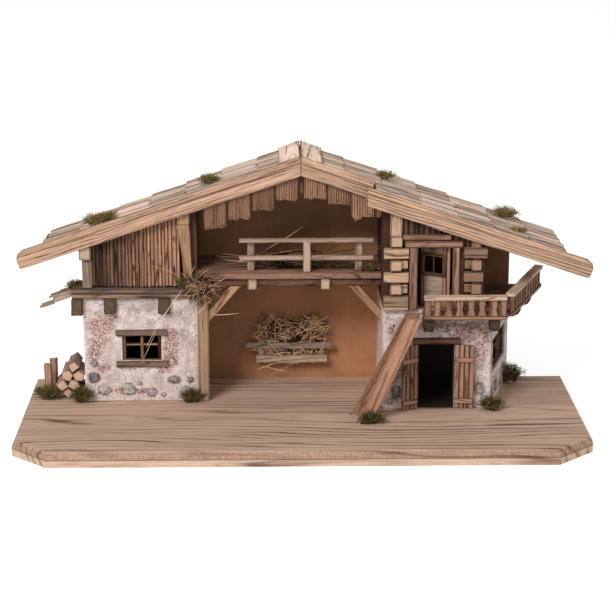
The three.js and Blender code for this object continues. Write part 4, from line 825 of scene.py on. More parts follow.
class StableStoneHouse(StableOperator, bpy.types.Operator):
    """Plastered walls of both houses, with their stones, windows and lintels"""
    bl_idname = "stable.stone_house"
    bl_label = "Plastered walls"

    def build(self, sizes):
        finish_nodes("wall", "left_front_wall", "left_side_wall", "right_front_wall", "right_side_wall")
        coats, stones = Pile(), Pile()
        for wall in WALLS:
            stains = list(wall["stains"])
            shift, drop, growth = wall["rim"]
            # each stone's grey rim is a stain a little larger than the stone, shifted down and aside: its painted
            # shadow
            for x, z, half, rise, seed in wall["stones"]:
                stains.append(("grey", x + shift, z - drop, half + growth, rise + growth))
                pebble(stones, (x, STONE_FRONT, z), (half, wall["depth"], rise), seed, wall["place"])
            coat(coats, *wall["reach"], GROUND, wall["top"], wall["holes"], wall["place"], sizes.plaster,
                 stains=stains)
        coats.finish("plaster_coat", "plaster", slot="plaster", sharp=70)
        stones.finish("field_stones", "stone", slot="plaster")
        window("left_window_frame", -226.7, -177.3, 72.3, 104.7, 56, None, sizes)
        window("right_window_frame", 18.3, 117.7, 57.8, 101.2, 2, SPLAY, sizes)
        for node, name in (("left_window_lintel", "left_lintel_beam"), ("left_window_sill", "left_sill_beam")):
            single(node, "x", "ledge", name, fray=(1.8, 1.8), pitch=2.6)
        single("stable_door_lintel", "x", "dark", "stable_lintel_beam", fray=(1.5, 1.5), tint=0.2)


def upright_boards(pile, edges, front, thick, low, jag=0.0, tints=None, **details):
    """Boards side by side, each up to the roof, with broken lower ends."""
    for i, (x0, x1) in enumerate(zip(edges[:-1], edges[1:])):
        foot = low + dice.uniform(-jag, 0)
        head = float(roof_under(min(abs(x0), abs(x1))))
        y = front + dice.uniform(0, 0.7)
        boxed(pile, (x0 + 0.1, y, foot), (x1 - 0.1, y + thick, head), "z", clip=below_roof,
              tint=None if tints is None else tints[i], **details)


class StableLeftStorey(StableOperator, bpy.types.Operator):
    """Floor, siding, posts and lean-to of the left house's upper storey"""
    bl_idname = "stable.left_storey"
    bl_label = "Left storey"

    def build(self, sizes):
        relief = sizes.relief
        pile = Pile()
        boxed(pile, (LEFT_FLOOR_END, 48, LEFT_FLOOR), (-131.4, 84, LEDGE_UNDER), "x", relief=0.7, wear=1.0, fray=(2, 0),
              fine=1.2, pitch=2.4, tint=1.0)
        boxed(pile, (-274, 84, 155.5), (-141.5, 149.8, 160.7), "x", relief=relief, wear=0.5)
        pile.finish("left_floor_boards", "ledge", "left_floor")
        pile = Pile()
        boxed(pile, (LEFT_FLOOR_END, 46, 132.5), (-275, 150, 154.6), "y", relief=0.7, wear=1.4, fine=1.2)
        for x in (-248.6, -180.6):
            boxed(pile, (x, 46, 134.5), (x + 16, 54, 154.6), "y", relief=0.6, wear=1.3, fine=1.2)
        pile.finish("left_floor_joists", "joist", "left_floor")
        pile = Pile()
        boxed(pile, (LEFT_FLOOR_END, 48, LEDGE_UNDER), (-131.4, 82, LEDGE_TOP), "x", relief=0.7, wear=1.0, fray=(3, 0),
              fine=1.2, pitch=2.6, tint=0.05)
        pile.finish("left_ledge", "ledge", "left_ledge_board")
        pile = Pile()
        edges = np.linspace(-262.5, -151.8, 25)
        edges[1:-1] += [dice.uniform(-0.9, 0.9) for _ in edges[1:-1]]
        share = np.linspace(0, 1, 24)
        tints = 0.05 + 0.85 * share ** 1.3 + np.array([dice.uniform(-0.14, 0.2) for _ in share])
        upright_boards(pile, edges, HOUSE_FRONT, 5.2, LEDGE_TOP + 0.9, jag=0.8, tints=np.clip(tints, 0.02, 1),
                       relief=0.8, wear=0.9, fray=(2.6, 0), fine=0.9, pitch=2.6)
        pile.finish("left_siding_boards", "siding", "left_siding")
        pile = Pile()
        for y in np.linspace(-150, -71.2, 10):
            boxed(pile, (y + 0.1, 0.2, 161), (y + 7.6 + 0.9, 5.6, 204.5), "z", place=LEFT_WALL, relief=0.5, wear=0.8,
                  tint=dice.uniform(0.15, 0.5))
        boxed(pile, (-71.3, 0.2, 167.4), (-63.6, 5.6, 204.5), "z", place=LEFT_WALL, relief=0.5, wear=0.8, tint=0.3)
        pile.finish("left_side_boards", "siding", "left_side_siding")
        single("left_corner_post", "z", "beam", "left_corner_beam", relief=0.7, wear=1.4, tint=0.1)
        pile = Pile()
        boxed(pile, (-278.1, 46, 204.6), (-263.1, 150, 230.9), "y", relief=0.6, wear=1.2, fine=1.2, clip=below_roof,
              tint=0.4)
        pile.finish("left_plate_beam", "beam", "left_wall_plate")
        pile = Pile()
        boxed(pile, (-155, 49.4, 249), (-139.2, 53.7, 276), "z", relief=0.5, wear=1.0, fine=1.1, clip=below_roof,
              tint=0.8)
        shape = [(0, 1, 1, 2.4, 0), (0.2, 1.02, 1, 1.6, 0), (0.5, 1.04, 1, 0.2, 0), (0.62, 1.1, 1, -0.6, 0),
                 (0.86, 1.38, 1, -2.4, 0), (1, 1.46, 1, -4.6, 0)]
        timber(pile, (-143.6, 51.9, LEDGE_TOP), (-143.6, 51.9, 248.8), 11.4, 3.6, up=(1, 0, 0), shape=shape, relief=0.5,
               wear=0.8, fine=1.1, tint=0.35)
        pile.finish("left_inner_beam", "brace", "left_inner_post")
        pile = Pile()
        for i, reach in enumerate((40, 26, 33)):
            for j in range(2):
                x1 = LEFT_FLOOR_END - 0.2 - j * reach / 2
                x0 = max(x1 - reach / 2 - 3, LEFT_FLOOR_END - reach)
                z1, z0 = (156.2 + 0.32 * (x - LEFT_FLOOR_END) + (1.2 if j == 0 else 0) for x in (x1, x0))
                for k in range(2):
                    y = 53.4 + 20.1 * i + 9.9 * k
                    timber(pile, (x1, y, z1), (x0, y, z0), 9.6, 2.2, up=(0, 1, 0), relief=0.5, wear=0.6,
                           fray=(0, 3.5), pitch=2.6)
        pile.finish("shed_shingles", "shingle", "shed_roof")


class StableHall(StableOperator, bpy.types.Operator):
    """Post, loft, braces, railing, ridge beam, hanging boards and rack of the open hall"""
    bl_idname = "stable.hall"
    bl_label = "Hall"

    def build(self, sizes):
        single("hall_post", "z", "post", "hall_pillar", wear=1.2, tint=0.5)
        single("loft_beam", "x", "dark", "loft_bearer", pitch=3.0)
        single("ridge_beam", "y", "dark", "ridge_timber", clip=below_roof)
        pile = Pile()
        boxed(pile, (HALL_LEFT, 48, LOFT_UNDER), (HALL_RIGHT, 66, LOFT_TOP), "x", relief=0.8, wear=1.1, fine=1.2,
              pitch=2.7, tint=0.6)
        for y in np.arange(66, 149, 21):
            boxed(pile, (HALL_LEFT, y, 179.5), (HALL_RIGHT, y + 20.8, 187.2), "x", relief=0.4, wear=0.6, tint=0.2)
        pile.finish("loft_boards", "loft", "loft_floor")
        pile = Pile()
        for share in (0.3, 0.695):
            x = HALL_LEFT + share * (HALL_RIGHT - HALL_LEFT) - 6
            boxed(pile, (x, 46, 165.5), (x + 12, 52, 178.8), "y", relief=0.5, wear=1.2, fine=1.1)
        pile.finish("loft_joists", "beam", "loft_floor")
        for node, face, lean in (("brace_left", -117, 1), ("brace_right", HALL_RIGHT, -1)):
            pile = Pile()
            foot = Vector((face + lean * 1.5, 56, 131))
            head = Vector((face + lean * 33, 56, 167.5))
            away = (head - foot).normalized() * 9

            def trim(points):
                points[:, 2] = np.minimum(points[:, 2], 169)
                points[:, 0] = np.maximum(points[:, 0] * lean, face * lean) * lean
                return points

            timber(pile, foot - away, head + away, 11, 8, up=(-lean, 0, 1), relief=0.5, wear=0.9, clip=trim,
                   fine=1.2)
            pile.finish(node.replace("brace", "strut"), "brace", node)
        pile = Pile()
        left, right = -78, 92
        for front, rear, low, high in ((50.3, 57.6, 225, 230.5), (53.5, 57.8, 201.5, 208.5)):
            boxed(pile, (left, front, low), (right, rear, high), "x", relief=0.6, wear=1.0, fray=(1, 1), fine=1.1,
                  pitch=2.6)
        for share, front in ((0.06, 57.2), (0.475, 50.6), (0.86, 57.2)):
            x = left + share * (right - left)
            boxed(pile, (x, front, LOFT_TOP), (x + 9.5, front + 4, 229.6), "z", relief=0.5, wear=0.8, fine=1.1)
        pile.finish("loft_rails", "rail", "loft_railing")
        for node, left, widths, drops in (
                ("hanging_boards_left", -121.5, [29.7] * 4, (38, 38, 38, 35)),
                ("hanging_boards_right", 2.7, [29.7] * 3 + [9.5], (44.5, 41, 47.5, 35.5))):
            pile = Pile()
            x = left
            for i, (width, drop) in enumerate(zip(widths, drops)):
                low = float(roof_under(x)) - drop
                high = float(max(roof_under(x), roof_under(x + width)))
                slant = dice.uniform(-0.8, 0.8)
                timber(pile, (x + width / 2 - slant, 48 + i % 2, low), (x + width / 2, 48 + i % 2, high), width - 0.9,
                       3.8, up=(1, 0, 0), relief=1.3, wear=0.9, fray=(8, 0), fine=0.8, clip=below_roof, pitch=3.0,
                       heart=(dice.choice((-1, 1)) * dice.uniform(30, 60), 6), step=3.0)
                x += width
            pile.finish(node.replace("boards", "planks"), "hanging", node)
        pile = Pile()
        for x0, x1, low, high in ((-72, 44, 62, 71.5), (-58.5, 36.5, 43.5, 54)):
            boxed(pile, (x0, 136, low), (x1, 140, high), "x", relief=0.7, wear=0.8, fray=(1.5, 1.5), fine=1.2,
                  pitch=2.5)
        for x in (-54.5, 25.5):
            boxed(pile, (x, 139.6, 43.5), (x + 7, 150, 71.4), "z", relief=0.4, wear=0.6)
        pile.finish("hay_rack_rails", "beam", "hay_rack")


# Shingles: how far a course covers the next, how thick they are, how high they lie, and how much their butts stand up.
# Over the right house, outwards from ROOF_STEP, the roof comes further forward.
COURSES, LAP, SHINGLE, SHINGLE_BED, SHINGLE_LIFT, SHINGLE_LENGTH = 7, 13.4, 2.4, 0.4 + 1.15, 2.2, 58
ROOF_REAR, ROOF_FRONT, ROOF_FORWARD, ROOF_STEP = 154.8, 45.0, 9.0, 92
EAVES = {"shingles_left": 328.5, "shingles_right": 334.5}
RIDGE_BOARD, RIDGE_LIFT = 28.6, 0.6 + SHINGLE_LIFT + SHINGLE_LIFT * 28 / 59 + 1.5

# The two layers of a barge board, by height, with their rounded tails as shapes over the last stretch
WIDE, NARROW = 25.5, 9.0
TAILS = {
    WIDE: ((0, 1, 1, 0, 0), (0.4, 0.97, 1, -0.3, 0), (0.7, 0.9, 1, -1.1, 0), (0.9, 0.76, 1, -2.3, 0),
           (1, 0.5, 0.9, -3.6, 0)),
    NARROW: ((0, 1, 1, 0, 0), (0.5, 0.8, 1, -0.6, 0), (0.75, 0.5, 1, -1.4, 0), (1, 0.2, 0.6, -3, 0)),
}


class StableRoof(StableOperator, bpy.types.Operator):
    """Shingles, ridge caps and barge boards"""
    bl_idname = "stable.roof"
    bl_label = "Roof"

    def build(self, sizes):
        for side, (node, eave) in zip((-1, 1), EAVES.items()):
            pile = Pile()
            pitch = (eave - LAP) / COURSES
            for i in range(COURSES):
                high, low = i * pitch + 0.5, (i + 1) * pitch + LAP
                front = ROOF_FRONT if side < 0 or high + pitch / 2 < ROOF_STEP else ROOF_FORWARD
                y = front
                while y < ROOF_REAR - 0.8:
                    width = min(dice.uniform(17, 33), ROOF_REAR - y)
                    if ROOF_REAR - y - width < 9:
                        width = ROOF_REAR - y
                    short = dice.uniform(0, 5)
                    start = Vector((side * high, y + width / 2, roof_top(high) + SHINGLE_BED))
                    foot = low - short
                    lift = SHINGLE_LIFT * (foot - high) / SHINGLE_LENGTH
                    end = Vector((side * foot, y + width / 2, roof_top(foot) + SHINGLE_BED + lift))
                    timber(pile, start, end, width - 0.9, SHINGLE, up=(0, 1, 0), relief=0.6, wear=0.6, fray=(0, 3.2),
                           fine=1.4, pitch=4.2)
                    y += width
            pile.finish(node.replace("shingles", "shingle_courses"), "shingle", node)
            cap = "ridge_cap_left" if side < 0 else "ridge_cap_right"
            pile = Pile()

            def cut_at_ridge(points):
                points[:, 0] = np.maximum(points[:, 0] * side, 0.2) * side
                return points

            middle = Vector((side * 14, ROOF_FRONT, roof_top(14) + RIDGE_LIFT))
            timber(pile, middle, middle + Vector((0, 110, 0)), RIDGE_BOARD, 3, up=(1, 0, -side * ROOF_SLOPE),
                   relief=0.6, wear=0.8, clip=cut_at_ridge, fray=(0.6, 0.6), fine=1.4, tint=1.4)
            pile.finish(cap.replace("cap", "board"), "shingle", cap)
        for node, side, start, tip, front, drop in (
                ("barge_board_left", -1, 0.3, 354.8, 40, 0), ("barge_board_inner", 1, 0.3, 91.5, 40, 0),
                ("barge_board_right", 1, 81, 360.8, 4, 4)):
            pile = Pile()
            lean = math.hypot(1, BARGE_SLOPE)

            def top_at(x):
                return BARGE_TOP - BARGE_SLOPE * x - drop

            def trim(points):
                x = np.maximum(points[:, 0] * side, start)
                if node == "barge_board_inner":
                    low = top_at(x) - points[:, 2]
                    x = np.minimum(x, 91.7 - np.clip(low, 0, 30) * 0.42)
                points[:, 0] = x * side
                return points

            rounded = node != "barge_board_inner"
            for height, y0, y1 in ((WIDE, front + 1.5, front + 5), (NARROW, front, front + 2.5)):
                width = height / lean
                end_x = tip if rounded else tip + 8
                middle = top_at(start - 8) - height / 2
                a = (side * (start - 8), (y0 + y1) / 2, middle)
                b = (side * end_x, (y0 + y1) / 2, top_at(end_x) - height / 2)
                fade = 19 / (end_x - start + 8)
                share = 1 - fade
                tail = TAILS[height]
                shape = [(0, 1, 1, 0, 0)] + [(share + fade * t if t < 1 else 1, *rest) for t, *rest in tail]
                timber(pile, a, b, width, y1 - y0, up=(0, 0, 1), relief=0.9, wear=1.1, fine=0.8, step=5,
                       clip=trim, shape=shape if rounded else None, pitch=3.7,
                       heart=(dice.choice((-1, 1)) * dice.uniform(34, 70), 9))
            pile.finish(node.replace("board", "plank"), "barge", node)


def hinge(x, y, turn):
    return Matrix.Translation((x, y, 0)) @ Matrix.Rotation(math.radians(turn), 4, "Z")


class StableDoors(StableOperator, bpy.types.Operator):
    """The double door of the stable and the door to the balcony, each on its own body"""
    bl_idname = "stable.doors"
    bl_label = "Doors"

    def build(self, sizes):
        foot, head = 19.5, 103
        # the left leaf's lower tone is painted shade, for the shadow it stands in
        for node, body, side, tone, place in (
                ("stable_door_left", "left_leaf", 1, 0.3, hinge(145.3, 12.5, -147)),
                ("stable_door_right", "right_leaf", -1, 0.8, hinge(193.3, 12.5, 172))):
            pile = Pile()
            edges = np.linspace(-1.2, 23.6, 5) * side
            for a, b in zip(edges[:-1], edges[1:]):
                x0, x1 = min(a, b), max(a, b)
                boxed(pile, (x0 + 0.1, -2.5, foot), (x1 - 0.1, 0.9, head), "z", relief=0.9, wear=0.7,
                      fray=(0.8, 0.8), place=place, fine=0.9, pitch=2.4, tint=tone + dice.uniform(-0.1, 0.1))
            x0, x1 = min(edges[0], edges[-1]) + 1, max(edges[0], edges[-1]) - 1
            for share in (0.08, 0.72):
                z = foot + share * (head - foot)
                boxed(pile, (x0, 0.5, z), (x1, 2.5, z + 7), "x", relief=0.5, wear=0.6, place=place, fine=1.1,
                      tint=tone + 0.1)
            pile.finish(node + "_leaf", "leaf", node, body)
        place = hinge(185.5, 20, -30)
        pile = Pile()
        low, high = 147.5, 226.3
        pane = (-36, -10, high - 35.8, high - 14.3)
        style = dict(place=place, relief=0.4, wear=0.5, fine=1.2)
        for x0, x1 in ((-40.5, -36), (-10, -5.2), (-5.2, 0)):
            boxed(pile, (x0 + 0.1, -1, low), (x1 - 0.1, 2, high), "z", **style)
        boxed(pile, (pane[0] + 0.1, -1, pane[3]), (pane[1] - 0.1, 2, high), "x", **style)
        pile.finish("balcony_door_leaf", "jamb", "balcony_door", "balcony_leaf")
        pile = Pile()
        boxed(pile, (pane[0] + 0.1, -1, low), (pane[1] - 0.1, 2, pane[2]), "x", place=place, relief=0.25, wear=0.5,
              pitch=6.0, tint=0.35)
        pile.finish("balcony_door_panel", "rail", "balcony_door", "balcony_leaf")
        pile = Pile()
        bar = 4.4
        for reach, front, part in ((bar, -2.4, 0.55), (bar * 0.5, -3.0, 0.0)):
            for x in (pane[0] - reach, pane[1] + bar * part):
                boxed(pile, (x, front, pane[2] - reach), (x + reach - bar * part, 0.5, pane[3] + reach), "z", **style)
            for z in (pane[2] - reach, pane[3] + bar * part):
                boxed(pile, (pane[0] - reach, front, z), (pane[1] + reach, 0.5, z + reach - bar * part), "x", **style)
        boxed(pile, (-24, -1.5, pane[2] - 1), (-22, 1, pane[3] + 1), "z", **style)
        pile.finish("balcony_door_pane", "dark", "balcony_door", "balcony_leaf")


# The corners of the log house. Each span is (from, to) across: the sill log, the logs along the front with the last
# one's end, the ends of the side logs that lie back or stand out, the stubs between them, the core and the post.
LOG_CORNERS = (
    dict(name="left_logs", finish="log", node="log_corner_left", rows=6, sill=(102, 10, 133, 152.4), along=(102, 133),
         last=133, back=(110.3, 124.7), out=(110.3, 124.8), stub=(124, 132), last_stub=124.8, core=(111.3, 123.7),
         post=(110.3, 241.4, 124.7, 285.5), tints=(0.0, 0.4)),
    dict(name="right_logs", finish="brown_log", node="log_corner_right", rows=5, sill=(201.5, 11, 223.5, 152.8),
         along=(201.5, 225.5), last=230.5, back=(210.6, 223.4), out=(210.5, 223.5), stub=(202.5, 211), last_stub=211,
         core=(211.5, 222.5), post=(210.5, 226.6, 223.5, 250), tints=(0.3, 0.8)),
)


def log_corner(name, finish, node, rows, sill, along, last, back, out, stub, last_stub, core, post, tints):
    """A corner of squared logs that run past each other in turn."""
    style = dict(relief=0.6, wear=0.45, fine=1.2)
    short = dict(style, heart=(0, 70), pitch=2.2)
    pile = Pile()
    left, front, right, base = sill
    boxed(pile, (left, front, BALCONY_TOP), (right, 16.7, base), "x", **style)
    for i in range(rows):
        z = base + LOG_PITCH * i
        top = z + LOG_HEIGHT
        if i % 2 == 0:
            boxed(pile, (along[0], 10, z), (last if i == rows - 1 else along[1], 16.7, top), "x", **style)
            boxed(pile, (back[0], 15, z), (back[1], 26.5, top), "y", **short)
        else:
            boxed(pile, (out[0], 9, z), (out[1], 26.8, top), "y", tint=dice.uniform(*tints), **short)
            end = last_stub if i == rows - 1 else stub[1]
            boxed(pile, (stub[0], 14, z + 1), (end, 16.7, z + 13), "x", **style)
        # a dark core fills the corner behind the log ends; its near-black tint is painted shade in the gaps between
        # them
        boxed(pile, (core[0], 12, z - 3), (core[1], 26, z + 13), "z", relief=0.2, wear=0.4, tint=-0.9)
    boxed(pile, (post[0], 12, post[1]), (post[2], 26.6, post[3]), "z", clip=below_roof, **style)
    pile.finish(name, finish, node)


class StableLogHouse(StableOperator, bpy.types.Operator):
    """Log corners, upper walls and door frame of the log house"""
    bl_idname = "stable.log_house"
    bl_label = "Log house"

    def build(self, sizes):
        for corner in LOG_CORNERS:
            log_corner(**corner)
        pile = Pile()
        edges = np.array([125.2, 132.6, 140, 144.5])
        upright_boards(pile, edges, 17.2, 5.4, BALCONY_TOP + 0.2, relief=0.5, wear=0.8)
        for x0, x1 in zip(np.arange(144.5, 187, 7.2), np.arange(151.7, 194, 7.2)):
            boxed(pile, (x0 + 0.1, 17.3, 226.8), (min(x1, 188) - 0.1, 22.7, 280), "z", clip=below_roof, relief=0.5,
                  wear=0.8)
        upright_boards(pile, np.array([188, 195.5, 203, 210.2]), 17.2, 5.4, BALCONY_TOP + 0.2, relief=0.5, wear=0.8)
        pile.finish("upper_front_boards", "upper", "upper_front_wall")
        pile = Pile()
        for y in np.arange(27, 149, 8.2):
            boxed(pile, (y + 0.1, 0.2, BALCONY_TOP + 0.2), (min(y + 8.2, 150) - 0.1, 5.8, 246), "z",
                  place=RIGHT_WALL, relief=0.5, wear=0.8)
        pile.finish("upper_side_boards", "upper", "upper_side_wall")
        single("door_header", "x", "jamb", "header_beam", relief=0.7, fray=(1, 1), tint=0.3)
        pile = Pile()
        for x0, x1 in ((133.5, 144.3), (188, 196.5)):
            boxed(pile, (x0, 12, BALCONY_TOP), (x1, 16.9, 227), "z", relief=0.6, wear=0.9, fine=1.2)
        boxed(pile, (128, 11, 226.8), (200.2, 16.9, 235.3), "x", relief=0.7, wear=1.2, fray=(1, 1), pitch=2.8)
        pile.finish("balcony_frame", "jamb", "balcony_door_frame")


class StableBalcony(StableOperator, bpy.types.Operator):
    """Floor, joists, sawn balusters and rails of the balcony"""
    bl_idname = "stable.balcony"
    bl_label = "Balcony"

    def rail(self, name, node, length, end_panel, place):
        """A handrail and a skirt with flat sawn balusters between them, along x with the outer face at y 0."""
        style = dict(place=place, relief=0.5, wear=0.9, fine=1.1)
        pile = Pile()
        boxed(pile, (0, -3, 19.8), (length, 9, 25.3), "x", fray=(1, 1), pitch=2.6, **style)
        pile.finish(name + "_handrail", "handrail", node)
        pile = Pile()
        boxed(pile, (0, -1.5, -5.2), (length, 3.5, 0.5), "x", fray=(1, 1), tint=0.6, **style)
        high = 20.3
        free = length - 2 * end_panel
        count = max(2, round(free / 14.6))
        pitch = free / count
        waist = [(0, 1, 1, 0, 0), (0.14, 1, 1, 0, 0), (0.22, 0.84, 1, 0, 0), (0.36, 0.66, 1, 0, 0),
                 (0.5, 0.64, 1, 0, 0), (0.64, 0.82, 1, 0, 0), (1, 0.88, 1, 0, 0)]
        for i in range(count):
            x = end_panel + (i + 0.5) * pitch + dice.uniform(-0.4, 0.4)
            timber(pile, (x, 1.75, -0.8), (x, 1.75, high), 11 + dice.uniform(-0.4, 0.4), 3.3, up=(1, 0, 0),
                   shape=waist, step=2.2, place=place, relief=0.35, wear=0.6, fine=1.1, pitch=2.6)
        if end_panel:
            for x in (0, length - end_panel):
                boxed(pile, (x, 0.1, -1), (x + end_panel, 3.5, high), "z", **style)
        pile.finish(name + "_balusters", "baluster", node)

    def build(self, sizes):
        pile = Pile()

        def edge(y):
            """How far out the balcony reaches at a depth."""
            return RAIL_CORNER[0] + RAIL_RUN[0] * (y - RAIL_CORNER[1]) / RAIL_RUN[1]

        def splayed(points):
            points[:, 0] = np.minimum(points[:, 0], edge(points[:, 1]) - 0.2)
            return points

        boxed(pile, (BALCONY_LEFT, -12, BALCONY_UNDER), (262, 9, BALCONY_TOP), "x", relief=0.5, wear=1.0, clip=splayed)
        boxed(pile, (112.3, 27.2, BALCONY_UNDER), (229, 149.8, 146.8), "x", relief=0.3, wear=0.5)
        # this strip of boards is painted brighter, painted light where the lamps leave it in shade
        boxed(pile, (BALCONY_LEFT, 9, BALCONY_UNDER), (239, 27.5, 146.9), "x", relief=0.3, wear=0.5, tint=1.6)
        y = 9.0
        while y < 149:
            depth = min(17.5, 149.8 - y)
            inner = 231 if y > 25 else 238
            boxed(pile, (inner, y + 0.2, BALCONY_UNDER), (316, y + depth, BALCONY_TOP), "x", relief=0.5, wear=0.8,
                  clip=splayed)
            y += depth
        pile.finish("balcony_boards", "loft", "balcony_floor")
        pile = Pile()
        level = 131.9
        rounded_under = [(0, 1, 1, 0, 0), (0.68, 1, 1, 0, 0), (0.88, 0.86, 1, 1.3, 0), (1, 0.55, 0.9, 4, 0)]
        style = dict(relief=0.6, wear=1.2, shape=rounded_under)
        for x in (151, 234):
            timber(pile, (x + 6.5, LOG_FRONT, level), (x + 6.5, -8, level), 18.2, 13, **style)
        for share in (0.4, 0.8):
            y = LOG_FRONT + share * WALL_RUN[1]
            inner = WALL_CORNER[0] + (y + 13 - LOG_FRONT) * WALL_RUN[0] / WALL_RUN[1] + 0.3
            timber(pile, (inner, y + 6.5, level), (edge(y) - 2, y + 6.5, level), 18.2, 13, **style)
        pile.finish("balcony_joists", "joist", "balcony_floor")
        self.rail("front_rail", "balcony_front_railing", RAIL_CORNER[0] - BALCONY_LEFT, 9.5,
                  Matrix.Translation((BALCONY_LEFT, -15.8, BALCONY_TOP)))
        out, mitre = 3.8, 12
        sine, cosine = math.sin(RAIL_TURN), math.cos(RAIL_TURN)
        place = Matrix.Translation((RAIL_CORNER[0] + out * sine + mitre * cosine,
                                    RAIL_CORNER[1] - out * cosine + mitre * sine, BALCONY_TOP))
        self.rail("side_rail", "balcony_side_railing", math.hypot(*RAIL_RUN) - mitre, 0,
                  place @ Matrix.Rotation(RAIL_TURN, 4, "Z"))


class StableLadder(StableOperator, bpy.types.Operator):
    """The ladder's two side boards and its treads"""
    bl_idname = "stable.ladder"
    bl_label = "Ladder"

    def build(self, sizes):
        pile = Pile()
        toe, half, slope, rise = 69.8, 9.25, 0.45, 130
        top_tread, treads, pitch = 143.5, 5, 27

        def level(points):
            points[:, 2] = np.clip(points[:, 2], GROUND + 0.1, GROUND + rise)
            return points

        for y, splay, tone in ((-36.5, 0.0, 0.45), (-8.5, 8.0, -0.4)):
            foot = np.array([toe - splay + half, y, GROUND])
            head = np.array([toe + slope * rise + half, y, GROUND + rise])
            lean = (head - foot) / np.linalg.norm(head - foot)
            width = 2 * half * lean[2]
            timber(pile, foot - lean * 10, head + lean * 10, width, 5, up=(1, 0, 0), relief=0.6, wear=0.9, clip=level,
                   fine=1.2, pitch=3.8, tint=tone)
        for i in range(treads):
            z = top_tread - pitch * i
            front = toe + slope * (z - GROUND)
            rear = front - 8 * (1 - (z - GROUND) / rise)
            timber(pile, (front + half, -34.4, z + 2), (rear + half, -10.6, z + 2), 4, 15.2, relief=0.4, wear=0.6,
                   tint=-0.4)
        pile.finish("ladder_boards", "ladder", "ladder")


def inside(outline, rng, n):
    """Random points in a polygon."""
    points = np.array(outline, float)
    lo, hi = points.min(0), points.max(0)
    kept = []
    while len(kept) < n:
        x, z = rng.uniform(lo, hi)
        odd = False
        for (ax, az), (bx, bz) in zip(points, np.roll(points, -1, 0)):
            if (az > z) != (bz > z) and x < (bx - ax) * (z - az) / (bz - az) + ax:
                odd = not odd
        if odd:
            kept.append((x, z))
    return np.array(kept)


def heap(outline, y0, y1, straws, length, tilt, core, tint):
    """A heap of straw: a dark core, painted shade inside the heap, with many stalks on and in it."""
    rng = np.random.default_rng(dice.randrange(1 << 20))
    pile = Pile()
    middle = np.array(outline).mean(0)
    for i, (x, z) in enumerate(middle + (inside(outline, rng, core) - middle) * 0.8):
        pebble(pile, (x, rng.uniform(y0 + 4, max(y0 + 4.1, y1 - 3)), z), (9, min(5, (y1 - y0) / 2), 4), i + 1, tint=0)
    # half of the stalks reach deep into the heap and are painted darker, as shade inside it
    for share, dark in ((0.5, 0.22), (0.5, 1)):
        n = round(straws * share)
        at = inside(outline, rng, n)
        low, high = (y0 + 2, y1) if dark < 1 else (y0, y0 + 0.6 * (y1 - y0))
        centres = np.stack([at[:, 0], rng.uniform(low, high, n), at[:, 1]], 1)
        aim = np.stack([rng.normal(0, 1, n), rng.normal(0, 0.22, n), rng.normal(0, tilt, n)], 1)
        strands(pile, centres, aim, rng.uniform(*length, n), 0.5, 0.6, (tint[0] * dark, tint[1] * dark))
    return pile


def stalk(pile, *points, thick=0.55, tint=1.0):
    """One long stalk through the points."""
    for a, b in zip(points[:-1], points[1:]):
        a, b = np.array(a, float), np.array(b, float)
        strands(pile, (a + b)[None] / 2, (b - a)[None], np.array([np.linalg.norm(b - a) * 1.02]), thick, 0.1,
                (tint, tint))


# Outlines of the heaps, (across, height), and the stalks that lie on them
RACK_HEAP = ((-50, 47), (30, 47), (34, 76), (33, 100), (16, 106), (-6, 101), (-14, 96), (-30, 104), (-54, 101),
             (-56, 74))
LOFT_HEAP = ((-62, 188.5), (60, 188.5), (56, 195), (26, 203), (-2, 205), (-34, 202), (-60, 195))
POST_HEAP = ((-146, 172), (-136, 154), (-120, 150), (-106, 166), (-108, 178), (-128, 186), (-144, 186))
RACK_STALKS = (
    ((-26, 134.5, 77), (13, 134, 47.5)), ((-44, 134.5, 76), (-20, 134.5, 47)),
    ((-56, 137, 34), (-30, 138, 44), (2, 137, 42)), ((-40, 137, 26), (-12, 138, 40)),
    ((-52, 138, 40), (-18, 138, 30)), ((20, 136, 98), (33, 135, 88), (32, 135, 66), (24, 135, 58)),
)
POST_STALKS = (
    ((-184, 44, 111), (-202, 45, 72)), ((-178, 44, 128), (-196, 44, 92)), ((-112, 42, 134), (-78, 42, 136)),
    ((-150, 42, 168), (-182, 43, 120)), ((-134, 42, 160), (-160, 43, 118)), ((-120, 42, 160), (-128, 43, 112)),
    ((-112, 42, 156), (-140, 43, 126)), ((-150, 42, 186), (-186, 43, 200)), ((-116, 42, 170), (-92, 43, 184)),
    ((-118, 42, 176), (-150, 43, 150)), ((-100, 42, 158), (-134, 43, 172)),
)


